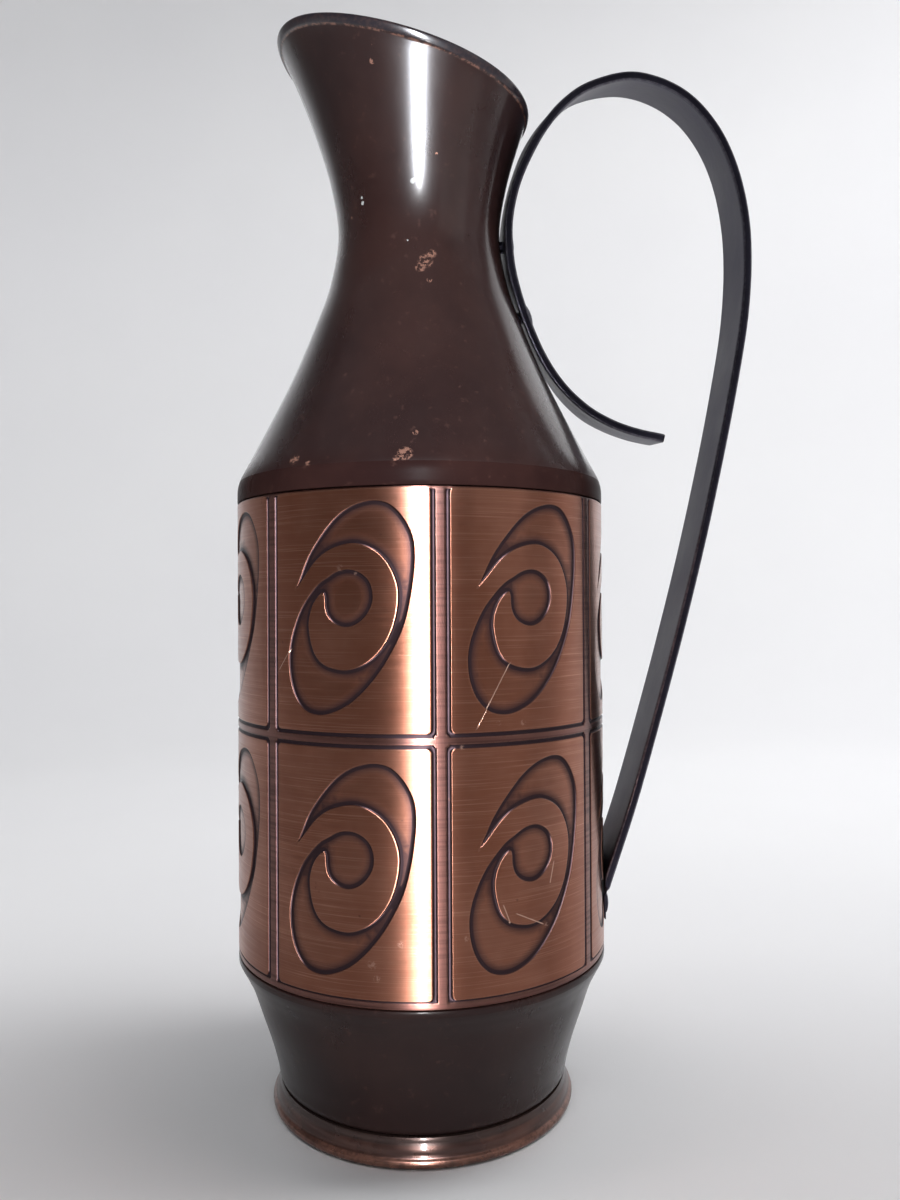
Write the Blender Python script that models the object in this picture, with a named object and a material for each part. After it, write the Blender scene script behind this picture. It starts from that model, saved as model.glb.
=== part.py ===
"""Copper water jug with an embossed relief band and a strap iron handle.

All lengths are in millimetres until they reach a mesh, where MM turns them
into metres. The jug's own axis is vertical. The part's origin is the middle
of its bounding box on the surface that it stands on: +X towards the handle,
-X towards the pouring lip, +Z up.
"""

import math

import bmesh
import bpy
from mathutils import Matrix, Vector

MM = 0.001
GAP = 0.3  # clearance between neighbouring pieces

# ---------------------------------------------------------------- dimensions
BODY_R = 50.0  # cylindrical middle of the jug
WALL = 1.0  # spun copper sheet
LAP_R = BODY_R - WALL - GAP  # the skirts that slide into the relief band
LAP_IN_R = LAP_R - WALL

BAND_BOTTOM, BAND_TOP = 41.55, 160.6
BAND_COLUMNS = 7
BAND_FIRST_BAR = 5.3  # degrees from -Y towards +X
BAND_GROOVE = 0.45
UPPER_LAP, LOWER_LAP = 7.5, 5.0

# spun outline of the shoulder, throat and flare: (height, outer radius)
NECK_OUTLINE = [
    (165.8, 50.0),
    (180.0, 42.5),
    (195.0, 35.1),
    (210.0, 28.9),
    (222.0, 24.7),
    (236.0, 22.5),
    (250.0, 24.4),
    (264.0, 28.5),
    (278.0, 33.8),
    (292.0, 40.2),
]
# the mouth is cut on a shallow curve that rises to the lip: z of x
RIM_AT_AXIS, RIM_SLOPE, RIM_CURVE = 275.4, -0.257, 0.0025
HEM_H, HEM_T = 2.2, 0.45  # folded edge of the mouth

# lower body: (height, outer radius)
LOWER_OUTLINE = [
    (39.8, 50.0),
    (38.6, 49.4),
    (36.4, 48.2),
    (32.6, 46.4),
    (25.5, 44.0),
    (18.3, 41.6),
    (12.0, 39.9),
    (8.6, 39.25),
    (7.4, 38.7),
    (7.0, 37.9),
]
FLOOR_Z = 7.0

FOOT_R, FOOT_TOP_R, FOOT_IN_R = 41.0, 38.9, 37.6

# strap handle, from its free curl to its foot: (x, z, twist in degrees)
STRAP_W, STRAP_T = 20.0, 2.2
STRAP_PATH = [
    (66.7, 179.8, -7.0),
    (59.8, 181.3, -7.5),
    (52.8, 183.8, -8.0),
    (45.9, 187.8, -8.0),
    (39.4, 194.2, -8.5),
    (34.2, 202.5, -9.0),
    (29.8, 213.0, -8.5),
    (26.1, 223.2, -4.0),
    (24.6, 231.5, -1.0),
    (24.5, 239.0, 0.5),
    (26.0, 247.8, 3.0),
    (28.9, 256.5, 7.0),
    (32.9, 264.8, 11.0),
    (38.4, 272.0, 14.0),
    (45.6, 277.6, 17.5),
    (56.9, 280.4, 16.0),
    (66.8, 278.5, 14.6),
    (75.4, 273.2, 12.0),
    (82.1, 264.8, 8.8),
    (86.6, 254.5, 5.8),
    (89.3, 242.0, 3.0),
    (90.0, 229.0, 1.3),
    (89.0, 213.7, 0.3),
    (86.4, 197.4, 0.0),
    (82.1, 175.6, 0.0),
    (76.0, 148.4, 0.0),
    (69.1, 121.3, 0.0),
    (61.6, 94.3, 0.0),
    (56.8, 78.1, 0.0),
    (52.3, 64.7, 0.0),
    (49.2, 55.5, 0.0),
    (46.0, 46.0, 0.0),
]
TONGUE_T = 0.65  # forged foot of the strap, which lies on the band
TONGUE_HALF_W = 3.6
TONGUE_END_Z, TONGUE_TOP_Z, STRAP_FULL_Z = 45.4, 53.0, 57.0

RIVET_SHANK_R, RIVET_HEAD_R, RIVET_HEAD_H = 1.7, 3.3, 1.0
RIVET_HOLE_R = RIVET_SHANK_R + GAP
UPPER_RIVET_Z = {"handle_rivet_upper_a": 234.0, "handle_rivet_upper_b": 214.5}
LOWER_RIVET_Z = 50.4

SEGMENTS = 56


# ------------------------------------------------------------------- helpers
def clear_scene():
    for obj in list(bpy.data.objects):
        bpy.data.objects.remove(obj, do_unlink=True)


def spline(points, at):
    """Catmull-Rom value at parameter `at` through rows of numbers."""
    last = len(points) - 1
    i = min(max(int(math.floor(at)), 0), last - 1)
    t = at - i
    p1, p2 = points[i], points[i + 1]
    p0 = points[i - 1] if i > 0 else [2 * a - b for a, b in zip(p1, p2)]
    p3 = points[i + 2] if i + 2 <= last else [2 * b - a for a, b in zip(p1, p2)]
    return [
        0.5
        * (
            2 * b
            + (c - a) * t
            + (2 * a - 5 * b + 4 * c - d) * t * t
            + (3 * b - a - 3 * c + d) * t * t * t
        )
        for a, b, c, d in zip(p0, p1, p2, p3)
    ]


def neck_radius(z):
    """Outer radius of the neck at a height, by bisection on the outline's spline."""
    low, high = 0.0, float(len(NECK_OUTLINE) - 1)
    for _ in range(40):
        mid = (low + high) / 2
        if spline(NECK_OUTLINE, mid)[0] < z:
            low = mid
        else:
            high = mid
    return spline(NECK_OUTLINE, (low + high) / 2)[1]


def neck_point(z, offset):
    """(radius, height) of the neck's wall, moved by offset along its outward normal."""
    slope = (neck_radius(z + 0.05) - neck_radius(z - 0.05)) / 0.1
    size = math.hypot(1.0, slope)
    return neck_radius(z) + offset / size, z - offset * slope / size


def rim_height(angle):
    """Height of the mouth's edge at an angle from -Y towards +X."""
    z = RIM_AT_AXIS
    for _ in range(60):
        x = neck_radius(z) * math.sin(angle)
        z += 0.6 * (RIM_AT_AXIS + RIM_SLOPE * x + RIM_CURVE * x * x - z)
    return z


def material(name, colour, metallic, roughness, coat=0.0):
    mat = bpy.data.materials.new(name)
    mat.use_nodes = True
    shader = mat.node_tree.nodes["Principled BSDF"]
    shader.inputs["Base Color"].default_value = (*colour, 1.0)
    shader.inputs["Metallic"].default_value = metallic
    shader.inputs["Roughness"].default_value = roughness
    shader.inputs["Coat Weight"].default_value = coat
    mat.diffuse_color = (*colour, 1.0)
    return mat


def add_object(name, bm, mat, frame, sharp=35.0):
    bmesh.ops.recalc_face_normals(bm, faces=bm.faces)
    mesh = bpy.data.meshes.new(name)
    bm.to_mesh(mesh)
    bm.free()
    mesh.shade_smooth()
    mesh.set_sharp_from_angle(angle=math.radians(sharp))
    mesh.materials.append(mat)
    obj = bpy.data.objects.new(name, mesh)
    bpy.context.scene.collection.objects.link(obj)
    obj.parent = frame
    return obj


def polar(radius, angle, z):
    return Vector((radius * math.sin(angle), -radius * math.cos(angle), z)) * MM


def sweep_rings(bm, rings, close_around=True, close_along=False, caps=False):
    """Joins rows of points into quads. Each row closes on itself."""
    rows = [[bm.verts.new(point) for point in ring] for ring in rings]
    count = len(rows[0])
    pairs = list(zip(rows, rows[1:]))
    if close_along:
        pairs.append((rows[-1], rows[0]))
    for first, second in pairs:
        for i in range(count if close_around else count - 1):
            j = (i + 1) % count
            bm.faces.new((first[i], first[j], second[j], second[i]))
    if caps:
        bm.faces.new(list(reversed(rows[0])))
        bm.faces.new(rows[-1])
    return rows


def turned_ring(name, section, mat, frame):
    """A closed (radius, height) section turned about the jug's axis."""
    bm = bmesh.new()
    rings = []
    for k in range(SEGMENTS):
        angle = 2 * math.pi * k / SEGMENTS
        rings.append([polar(r, angle, z) for r, z in section])
    sweep_rings(bm, rings, close_along=True)
    return add_object(name, bm, mat, frame)


def turned_cup(name, section, mat, frame):
    """A section that starts and ends on the axis, turned about it."""
    bm = bmesh.new()
    start, end = section[0], section[-1]
    poles = [bm.verts.new((0, 0, z * MM)) for z in (start[1], end[1])]
    rows = []
    for r, z in section[1:-1]:
        rows.append(
            [
                bm.verts.new(polar(r, 2 * math.pi * k / SEGMENTS, z))
                for k in range(SEGMENTS)
            ]
        )
    for k in range(SEGMENTS):
        j = (k + 1) % SEGMENTS
        bm.faces.new((poles[0], rows[0][k], rows[0][j]))
        bm.faces.new((poles[1], rows[-1][j], rows[-1][k]))
        for first, second in zip(rows, rows[1:]):
            bm.faces.new((first[k], second[k], second[j], first[j]))
    return add_object(name, bm, mat, frame)


# ------------------------------------------------------------- the jug's body
def make_neck(mat, frame):
    """Shoulder, throat and flared mouth, spun from one sheet, with a hemmed edge."""
    bm = bmesh.new()
    low_heights = [168.0, 180.0, 192.0, 203.0, 213.0, 222.0, 230.0, 238.0]
    upper_shares = [0.2, 0.42, 0.64, 0.88]
    rings = []
    for k in range(SEGMENTS):
        angle = 2 * math.pi * k / SEGMENTS
        top = rim_height(angle)
        heights = low_heights + [238.0 + (top - 5.0 - 238.0) * s / 0.88 for s in upper_shares]
        section = [
            (LAP_R, BAND_TOP - UPPER_LAP),
            (LAP_R, BAND_TOP + GAP),
            (BODY_R, BAND_TOP + GAP),
            (BODY_R, 163.7),
            (BODY_R - 0.25, 165.2),
            (BODY_R - 0.75, 166.6),
        ]
        section += [neck_point(z, 0.0) for z in heights]
        section += [
            neck_point(top - HEM_H - 0.3, 0.0),
            neck_point(top - HEM_H, HEM_T),
            neck_point(top - 0.5, HEM_T),
            neck_point(top, HEM_T - 0.5),
            neck_point(top, -WALL + 0.3),
            neck_point(top - 0.4, -WALL),
        ]
        section += [neck_point(z, -WALL) for z in reversed(heights)]
        section += [(LAP_IN_R, 166.4), (LAP_IN_R, BAND_TOP - UPPER_LAP)]
        rings.append([polar(r, angle, z) for r, z in section])
    sweep_rings(bm, rings, close_along=True)
    return add_object("neck_shoulder", bm, mat, frame)


def band_columns():
    """(angle in degrees, depth) around the band: panels, and bars between grooves."""
    pitch = 360.0 / BAND_COLUMNS
    bar = [(-2.75, 0), (-2.4, 1), (-1.5, 1), (-1.1, 0.1), (1.1, 0.1), (1.5, 1), (2.4, 1), (2.75, 0)]
    found = []
    for column in range(BAND_COLUMNS):
        centre = BAND_FIRST_BAR + column * pitch
        found += [(centre + a, d * BAND_GROOVE) for a, d in bar]
        panel = pitch - 5.5
        found += [(centre + 2.75 + panel * i / 8, 0.0) for i in range(1, 8)]
    return found


def band_rows():
    """(height, depth) up the band, with the bar between the two rows of panels."""
    return [
        (BAND_BOTTOM, 0.15),
        (42.0, -0.05),
        (43.0, -0.05),
        (43.3, BAND_GROOVE),
        (43.75, 0.0),
        (100.5, 0.0),
        (100.8, BAND_GROOVE),
        (101.4, BAND_GROOVE),
        (101.7, 0.05),
        (103.1, 0.05),
        (103.4, BAND_GROOVE),
        (104.0, BAND_GROOVE),
        (104.3, 0.0),
        (160.2, 0.0),
        (BAND_TOP, 0.2),
    ]


def make_band(mat, frame):
    """The relief sleeve, rolled from sheet: two rows of panels between pressed bars."""
    bm = bmesh.new()
    rings = []
    for angle, depth in band_columns():
        a = math.radians(angle)
        ring = []
        for z, row_depth in band_rows():
            inside = 43.75 <= z <= 160.2
            cut = max(row_depth, depth if inside else row_depth)
            ring.append(polar(BODY_R - cut, a, z))
        ring.append(polar(BODY_R - WALL, a, BAND_TOP))
        ring.append(polar(BODY_R - WALL, a, BAND_BOTTOM))
        rings.append(ring)
    sweep_rings(bm, rings, close_along=True)
    return add_object("relief_band", bm, mat, frame, sharp=25.0)


def make_lower_body(mat, frame):
    """The spun cup that closes the jug below the band."""
    top = BAND_BOTTOM - GAP
    section = [(0.0, FLOOR_Z)]
    section += [(r, z) for z, r in reversed(LOWER_OUTLINE)]
    section += [
        (BODY_R, top),
        (LAP_R, top),
        (LAP_R, BAND_BOTTOM + LOWER_LAP),
        (LAP_IN_R, BAND_BOTTOM + LOWER_LAP),
        (LAP_IN_R, 38.0),
    ]
    section += [(r - 1.06 * WALL, z + 0.3) for z, r in LOWER_OUTLINE if 9.0 < z < 36.5]
    section += [(38.1, 9.2), (37.2, FLOOR_Z + WALL), (0.0, FLOOR_Z + WALL)]
    return turned_cup("lower_body", section, mat, frame)


def make_foot(mat, frame):
    """Turned foot ring below the cup, with a rounded outer lip."""
    top = FLOOR_Z - GAP
    section = [
        (FOOT_IN_R, 0.0),
        (FOOT_R - 0.9, 0.0),
        (FOOT_R - 0.3, 0.25),
        (FOOT_R, 0.9),
        (FOOT_R, 2.0),
        (FOOT_R - 0.35, 2.9),
        (FOOT_R - 1.1, 4.0),
        (FOOT_R - 1.75, 5.2),
        (FOOT_TOP_R, top),
        (FOOT_IN_R - 1.2, top),
        (FOOT_IN_R - 0.4, 4.0),
    ]
    return turned_ring("foot_ring", section, mat, frame)


# ------------------------------------------------------------------ the handle
def strap_station(at):
    """Centre, unit tangent and outward normal of the strap in the XZ plane, and its twist."""
    x, z, twist = spline(STRAP_PATH, at)
    ahead = spline(STRAP_PATH, min(at + 0.02, len(STRAP_PATH) - 1.0))
    behind = spline(STRAP_PATH, max(at - 0.02, 0.0))
    tangent = Vector((ahead[0] - behind[0], 0.0, ahead[1] - behind[1])).normalized()
    outward = Vector((-tangent.z, 0.0, tangent.x))
    return Vector((x, 0.0, z)), tangent, outward, math.radians(twist)


def strap_at_height(z):
    """Parameter on the strap's first, neck-side rise where its centre passes a height."""
    low, high = 3.0, 13.0
    for _ in range(40):
        mid = (low + high) / 2
        if strap_station(mid)[0].z < z:
            low = mid
        else:
            high = mid
    return (low + high) / 2


def strap_section(at):
    """Ten points around the strap: five across its outer face, five back across its inner one."""
    centre, tangent, outward, twist = strap_station(at)
    across = Vector((0, 1, 0)) * math.cos(twist) + outward * math.sin(twist)
    face = outward * math.cos(twist) - Vector((0, 1, 0)) * math.sin(twist)
    shares = (-1.0, -0.5, 0.0, 0.5, 1.0)
    foot = centre.z < 80.0 and centre.x < 60.0
    half = STRAP_W / 2
    if foot and centre.z < STRAP_FULL_Z:
        share = min(1.0, (STRAP_FULL_Z - centre.z) / (STRAP_FULL_Z - TONGUE_TOP_Z))
        half += (TONGUE_HALF_W - half) * share
        if centre.z < TONGUE_END_Z + 2.4:
            into = (TONGUE_END_Z + 2.4 - centre.z) / 2.4
            half *= math.sqrt(max(1.0 - 0.8 * into * into, 0.05))
    outer, inner = [], []
    for share in shares:
        outer.append(centre + across * (half * share) + face * (STRAP_T / 2))
        inner.append(centre + across * (half * share) - face * (STRAP_T / 2))
    if foot:
        for points, lift in ((outer, GAP + TONGUE_T), (inner, GAP)):
            for point in points:
                seat = math.sqrt((BODY_R + lift) ** 2 - point.y**2)
                if points is inner or centre.z > TONGUE_TOP_Z:
                    point.x = max(point.x, seat)
                else:
                    point.x = seat
    return [p * MM for p in outer + list(reversed(inner))]


def strap_parameters():
    last = len(STRAP_PATH) - 1
    ends = []
    at = 0.0
    while at < last:
        z = strap_station(at)[0].z
        low_leg = at > 22
        step = 0.5
        if low_leg and 66.0 < z < 190.0:
            step = 0.5
        elif low_leg and z <= 66.0:
            step = 0.1
        ends.append(at)
        at += step
        if low_leg and strap_station(min(at, last))[0].z < TONGUE_END_Z:
            break
    return ends


def make_strap(mat, frame):
    """Flat iron strap, bent and slightly twisted cold, its foot forged down to a tongue."""
    bm = bmesh.new()
    sweep_rings(bm, [strap_section(at) for at in strap_parameters()], caps=True)
    return add_object("handle_strap", bm, mat, frame, sharp=40.0)


def placed(obj, origin, axis):
    """Puts an object's +Z along an axis through a point, in the jug's frame."""
    turn = Vector((0, 0, 1)).rotation_difference(axis).to_matrix().to_4x4()
    obj.matrix_local = Matrix.Translation(origin * MM) @ turn


def make_rivet(name, grip, mat, frame, head_h=RIVET_HEAD_H):
    """Domed head above z = 0, shank below it, and a flat upset head at -grip."""
    bm = bmesh.new()
    dome = [
        (RIVET_HEAD_R * math.cos(math.radians(a)), head_h * math.sin(math.radians(a)))
        for a in (0, 25, 50, 72)
    ]
    section = [(0.0, head_h)] + list(reversed(dome))
    section += [
        (RIVET_SHANK_R, 0.0),
        (RIVET_SHANK_R, -grip),
        (RIVET_HEAD_R - 0.4, -grip),
        (RIVET_HEAD_R - 0.6, -grip - 0.6),
        (0.0, -grip - 0.8),
    ]
    sides = 20
    top, bottom = (bm.verts.new((0, 0, z * MM)) for z in (section[0][1], section[-1][1]))
    rows = [
        [
            bm.verts.new(
                (
                    r * MM * math.cos(2 * math.pi * k / sides),
                    r * MM * math.sin(2 * math.pi * k / sides),
                    z * MM,
                )
            )
            for k in range(sides)
        ]
        for r, z in section[1:-1]
    ]
    for k in range(sides):
        j = (k + 1) % sides
        bm.faces.new((top, rows[0][k], rows[0][j]))
        bm.faces.new((bottom, rows[-1][j], rows[-1][k]))
        for first, second in zip(rows, rows[1:]):
            bm.faces.new((first[k], second[k], second[j], first[j]))
    return add_object(name, bm, mat, frame)


def make_drill(name, start, end, origin, axis, frame):
    """A hidden cylinder that opens a rivet's hole, from start to end along the axis."""
    bm = bmesh.new()
    bmesh.ops.create_cone(
        bm,
        cap_ends=True,
        segments=20,
        radius1=RIVET_HOLE_R * MM,
        radius2=RIVET_HOLE_R * MM,
        depth=(end - start) * MM,
    )
    bmesh.ops.translate(bm, verts=bm.verts, vec=(0, 0, (start + end) / 2 * MM))
    bmesh.ops.recalc_face_normals(bm, faces=bm.faces)
    mesh = bpy.data.meshes.new(name)
    bm.to_mesh(mesh)
    bm.free()
    drill = bpy.data.objects.new(name, mesh)
    bpy.context.scene.collection.objects.link(drill)
    drill.parent = frame
    drill.hide_render = True
    drill.display_type = "WIRE"
    placed(drill, origin, axis)
    return drill


def drill_through(obj, drill):
    cut = obj.modifiers.new("hole_" + drill.name, "BOOLEAN")
    cut.operation = "DIFFERENCE"
    cut.solver = "EXACT"
    cut.object = drill


# ---------------------------------------------------------------------- build
def main():
    clear_scene()
    widest = max(strap_station(20 + i / 50)[0].x for i in range(150)) + STRAP_T / 2
    frame = bpy.data.objects.new("jug_axis", None)
    bpy.context.scene.collection.objects.link(frame)
    frame.location = (-(widest - BODY_R) / 2 * MM, 0.0, 0.0)
    print("jug axis at x =", round(frame.location.x / MM, 3), "mm")

    lacquer = material("dark_lacquered_copper", (0.045, 0.024, 0.02), 0.85, 0.22, 0.5)
    lacquer_low = material("dark_lacquered_copper_low", (0.05, 0.026, 0.02), 0.85, 0.25, 0.5)
    copper = material("brushed_copper", (0.52, 0.22, 0.12), 1.0, 0.32)
    foot_copper = material("worn_foot_copper", (0.16, 0.07, 0.05), 0.9, 0.3)
    iron = material("blackened_iron", (0.03, 0.028, 0.035), 0.6, 0.42)
    rivet_iron = material("rivet_iron", (0.05, 0.04, 0.045), 0.7, 0.4)

    neck = make_neck(lacquer, frame)
    band = make_band(copper, frame)
    make_lower_body(lacquer_low, frame)
    make_foot(foot_copper, frame)
    strap = make_strap(iron, frame)

    for name, height in UPPER_RIVET_Z.items():
        centre, tangent, outward, twist = strap_station(strap_at_height(height))
        face = outward * math.cos(twist) - Vector((0, 1, 0)) * math.sin(twist)
        axis = -face
        seat = centre + axis * (STRAP_T / 2 + GAP)
        rivet = make_rivet(name, STRAP_T + WALL + 4 * GAP + 0.9, rivet_iron, frame)
        placed(rivet, seat, axis)
        drill = make_drill("drill_" + name, -8.0, 3.0, seat, axis, frame)
        drill_through(strap, drill)
        drill_through(neck, drill)

    seat = Vector((BODY_R + 2 * GAP + TONGUE_T, 0.0, LOWER_RIVET_Z))
    axis = Vector((1, 0, 0))
    rivet = make_rivet(
        "handle_rivet_lower", TONGUE_T + WALL + 3 * GAP + 0.15, rivet_iron, frame, head_h=0.8
    )
    placed(rivet, seat, axis)
    drill = make_drill("drill_handle_rivet_lower", -6.0, 3.0, seat, axis, frame)
    drill_through(strap, drill)
    drill_through(band, drill)


main()
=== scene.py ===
"""Looks of the copper water jug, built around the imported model.

Lengths are millimetres in the jug's own axis frame (axis vertical, z = 0 on
the surface it stands on, +X towards the handle) until `at` turns them into
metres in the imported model's frame.
"""

import math

import bmesh
import bpy
import numpy as np
from mathutils import Matrix, Vector, noise
from mathutils.geometry import delaunay_2d_cdt


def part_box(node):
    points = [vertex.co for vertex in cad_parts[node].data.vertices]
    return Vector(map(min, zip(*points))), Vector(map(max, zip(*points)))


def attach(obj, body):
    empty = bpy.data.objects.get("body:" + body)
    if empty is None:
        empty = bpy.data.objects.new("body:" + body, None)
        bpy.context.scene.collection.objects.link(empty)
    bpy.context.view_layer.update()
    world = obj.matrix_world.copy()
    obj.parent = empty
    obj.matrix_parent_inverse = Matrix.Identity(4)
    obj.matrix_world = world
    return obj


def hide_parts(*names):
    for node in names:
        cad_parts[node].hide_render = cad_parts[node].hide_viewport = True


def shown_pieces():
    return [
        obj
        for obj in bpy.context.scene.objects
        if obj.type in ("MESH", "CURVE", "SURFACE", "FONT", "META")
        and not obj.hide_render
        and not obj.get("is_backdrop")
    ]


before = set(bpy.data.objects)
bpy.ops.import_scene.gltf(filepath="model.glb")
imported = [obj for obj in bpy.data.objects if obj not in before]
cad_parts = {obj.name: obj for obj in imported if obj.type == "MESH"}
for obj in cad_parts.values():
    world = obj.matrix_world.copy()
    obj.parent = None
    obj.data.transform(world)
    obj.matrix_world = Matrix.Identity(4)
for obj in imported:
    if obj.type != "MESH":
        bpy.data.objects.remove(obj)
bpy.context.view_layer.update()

MM = 0.001
foot_low, foot_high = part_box("foot_ring")
AXIS_X = (foot_low[0] + foot_high[0]) / 2  # the jug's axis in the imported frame, metres

# ---------------------------------------------------------------- dimensions
GAP = 0.3
BODY_R, WALL = 50.0, 1.0
LAP_R = BODY_R - WALL - GAP
LAP_IN_R = LAP_R - WALL

BAND_BOTTOM, BAND_TOP = 41.55, 160.6
BAND_COLUMNS = 7
BAND_FIRST_BAR = math.radians(5.3)
UPPER_LAP, LOWER_LAP = 7.5, 5.0

NECK_OUTLINE = [
    (165.8, 50.0),
    (180.0, 42.5),
    (195.0, 35.1),
    (210.0, 28.9),
    (222.0, 24.7),
    (236.0, 22.5),
    (250.0, 24.4),
    (264.0, 28.5),
    (278.0, 33.8),
    (292.0, 40.2),
]
RIM_AT_AXIS, RIM_SLOPE, RIM_CURVE = 275.4, -0.257, 0.0025
HEM_H, HEM_T = 2.2, 0.45

LOWER_OUTLINE = [
    (39.8, 50.0),
    (38.6, 49.4),
    (36.4, 48.2),
    (32.6, 46.4),
    (25.5, 44.0),
    (18.3, 41.6),
    (12.0, 39.9),
    (8.6, 39.25),
    (7.4, 38.7),
    (7.0, 37.9),
]
FLOOR_Z = 7.0
FOOT_R, FOOT_TOP_R, FOOT_IN_R = 41.0, 38.9, 37.6

STRAP_W, STRAP_T = 20.0, 2.2
STRAP_PATH = [
    (66.7, 179.8, -7.0),
    (59.8, 181.3, -7.5),
    (52.8, 183.8, -8.0),
    (45.9, 187.8, -8.0),
    (39.4, 194.2, -8.5),
    (34.2, 202.5, -9.0),
    (29.8, 213.0, -8.5),
    (26.1, 223.2, -4.0),
    (24.6, 231.5, -1.0),
    (24.5, 239.0, 0.5),
    (26.0, 247.8, 3.0),
    (28.9, 256.5, 7.0),
    (32.9, 264.8, 11.0),
    (38.4, 272.0, 14.0),
    (45.6, 277.6, 17.5),
    (56.9, 280.4, 16.0),
    (66.8, 278.5, 14.6),
    (75.4, 273.2, 12.0),
    (82.1, 264.8, 8.8),
    (86.6, 254.5, 5.8),
    (89.3, 242.0, 3.0),
    (90.0, 229.0, 1.3),
    (89.0, 213.7, 0.3),
    (86.4, 197.4, 0.0),
    (82.1, 175.6, 0.0),
    (76.0, 148.4, 0.0),
    (69.1, 121.3, 0.0),
    (61.6, 94.3, 0.0),
    (56.8, 78.1, 0.0),
    (52.3, 64.7, 0.0),
    (49.2, 55.5, 0.0),
    (46.0, 46.0, 0.0),
]
TONGUE_T = 0.65
TONGUE_HALF_W = 3.6
TONGUE_END_Z, TONGUE_TOP_Z, STRAP_FULL_Z = 45.4, 53.0, 57.0

RIVET_SHANK_R, RIVET_HEAD_R, RIVET_HEAD_H = 1.7, 3.3, 1.0
UPPER_RIVET_Z = {"handle_rivet_upper_a": 234.0, "handle_rivet_upper_b": 214.5}
LOWER_RIVET_Z = 50.4

# relief: a pressed drop of RELIEF_DEPTH across walls about half a millimetre wide
RELIEF_DEPTH = 0.46
COLUMN_W = 2 * math.pi * BODY_R / BAND_COLUMNS
PANEL_INSET = 2.25  # from the middle of an upright bar to the panel's edge
PANELS = ((43.55, 100.65), (104.15, 160.25))  # lower and upper edge of each row of panels
PANEL_CORNER = 1.1
RIDGE_V, RIDGE_H = 1.15, 0.78  # half widths of the upright and level bars
RIDGE_Z = 102.4
BEAD_TOP = 43.1

# The spiral in each panel, as two strokes from its tip to its inner cusp and
# back, in mm from the panel's middle.
SPIRAL_OUT = [
    (-13.95, 4.95),
    (-12.1, 8.6),
    (-9.9, 12.9),
    (-6.25, 17.7),
    (-2.6, 21.5),
    (1.0, 23.85),
    (4.65, 25.05),
    (7.55, 25.3),
    (10.5, 24.55),
    (13.0, 22.4),
    (15.2, 19.1),
    (16.3, 15.85),
    (16.5, 11.5),
    (16.1, 7.1),
    (15.2, 1.7),
    (13.75, -3.8),
    (11.2, -9.25),
    (8.3, -13.95),
    (4.65, -18.3),
    (1.0, -21.4),
    (-2.6, -23.25),
    (-6.25, -24.2),
    (-9.9, -23.8),
    (-12.45, -22.3),
    (-14.6, -19.4),
    (-15.9, -15.4),
    (-16.25, -11.05),
    (-15.7, -7.4),
    (-14.45, -3.8),
    (-12.45, 0.2),
    (-9.9, 3.5),
    (-7.0, 6.4),
    (-4.8, 7.6),
    (-2.6, 8.95),
    (0.3, 9.65),
    (3.2, 9.1),
    (5.75, 7.1),
    (6.75, 4.2),
    (6.5, 1.3),
    (5.0, -1.25),
    (2.85, -3.05),
    (0.3, -3.8),
    (-2.6, -3.05),
    (-4.6, -1.25),
    (-5.35, 1.3),
    (-5.35, 3.85),
    (-5.8, 4.35),
]
SPIRAL_BACK = [
    (-5.8, 4.35),
    (-7.0, 3.65),
    (-8.8, 1.3),
    (-9.9, -2.35),
    (-9.6, -5.95),
    (-8.45, -9.6),
    (-6.25, -12.15),
    (-2.6, -13.4),
    (1.0, -13.55),
    (4.65, -12.15),
    (7.95, -9.6),
    (10.5, -5.95),
    (11.95, -1.95),
    (12.65, 2.05),
    (12.5, 5.65),
    (11.2, 9.3),
    (9.0, 12.4),
    (6.1, 14.4),
    (2.5, 15.55),
    (-1.15, 15.15),
    (-4.8, 13.85),
    (-8.1, 11.5),
    (-11.35, 7.85),
    (-13.95, 4.95),
]


# ------------------------------------------------------------------- helpers
def spline(points, at):
    last = len(points) - 1
    i = min(max(int(math.floor(at)), 0), last - 1)
    t = at - i
    p1, p2 = points[i], points[i + 1]
    p0 = points[i - 1] if i > 0 else [2 * a - b for a, b in zip(p1, p2)]
    p3 = points[i + 2] if i + 2 <= last else [2 * b - a for a, b in zip(p1, p2)]
    return [
        0.5
        * (
            2 * b
            + (c - a) * t
            + (2 * a - 5 * b + 4 * c - d) * t * t
            + (3 * b - a - 3 * c + d) * t * t * t
        )
        for a, b, c, d in zip(p0, p1, p2, p3)
    ]


def outline_table(points, steps=60):
    rows = [spline(points, i / steps) for i in range((len(points) - 1) * steps + 1)]
    rows.sort()
    return np.array(rows)


NECK_TABLE = outline_table(NECK_OUTLINE)


def neck_radius(z):
    return float(np.interp(z, NECK_TABLE[:, 0], NECK_TABLE[:, 1]))


def shoulder_radius(z):
    """Neck radius with the shoulder's corner rounded into the collar."""
    a, b, k = neck_radius(z) if z > 165.8 else 50.0 + (165.8 - z) * 0.54, BODY_R, 1.3
    h = max(k - abs(a - b), 0.0) / k
    return min(a, b) - h * h * k / 4


def neck_point(z, offset):
    slope = (shoulder_radius(z + 0.1) - shoulder_radius(z - 0.1)) / 0.2
    size = math.hypot(1.0, slope)
    return shoulder_radius(z) + offset / size, z - offset * slope / size


def rim_height(angle):
    z = RIM_AT_AXIS
    for _ in range(60):
        x = neck_radius(z) * math.sin(angle)
        z += 0.6 * (RIM_AT_AXIS + RIM_SLOPE * x + RIM_CURVE * x * x - z)
    return z


def at(x, y, z):
    return Vector((AXIS_X + x * MM, y * MM, z * MM))


def polar(radius, angle, z):
    return at(radius * math.sin(angle), -radius * math.cos(angle), z)


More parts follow.
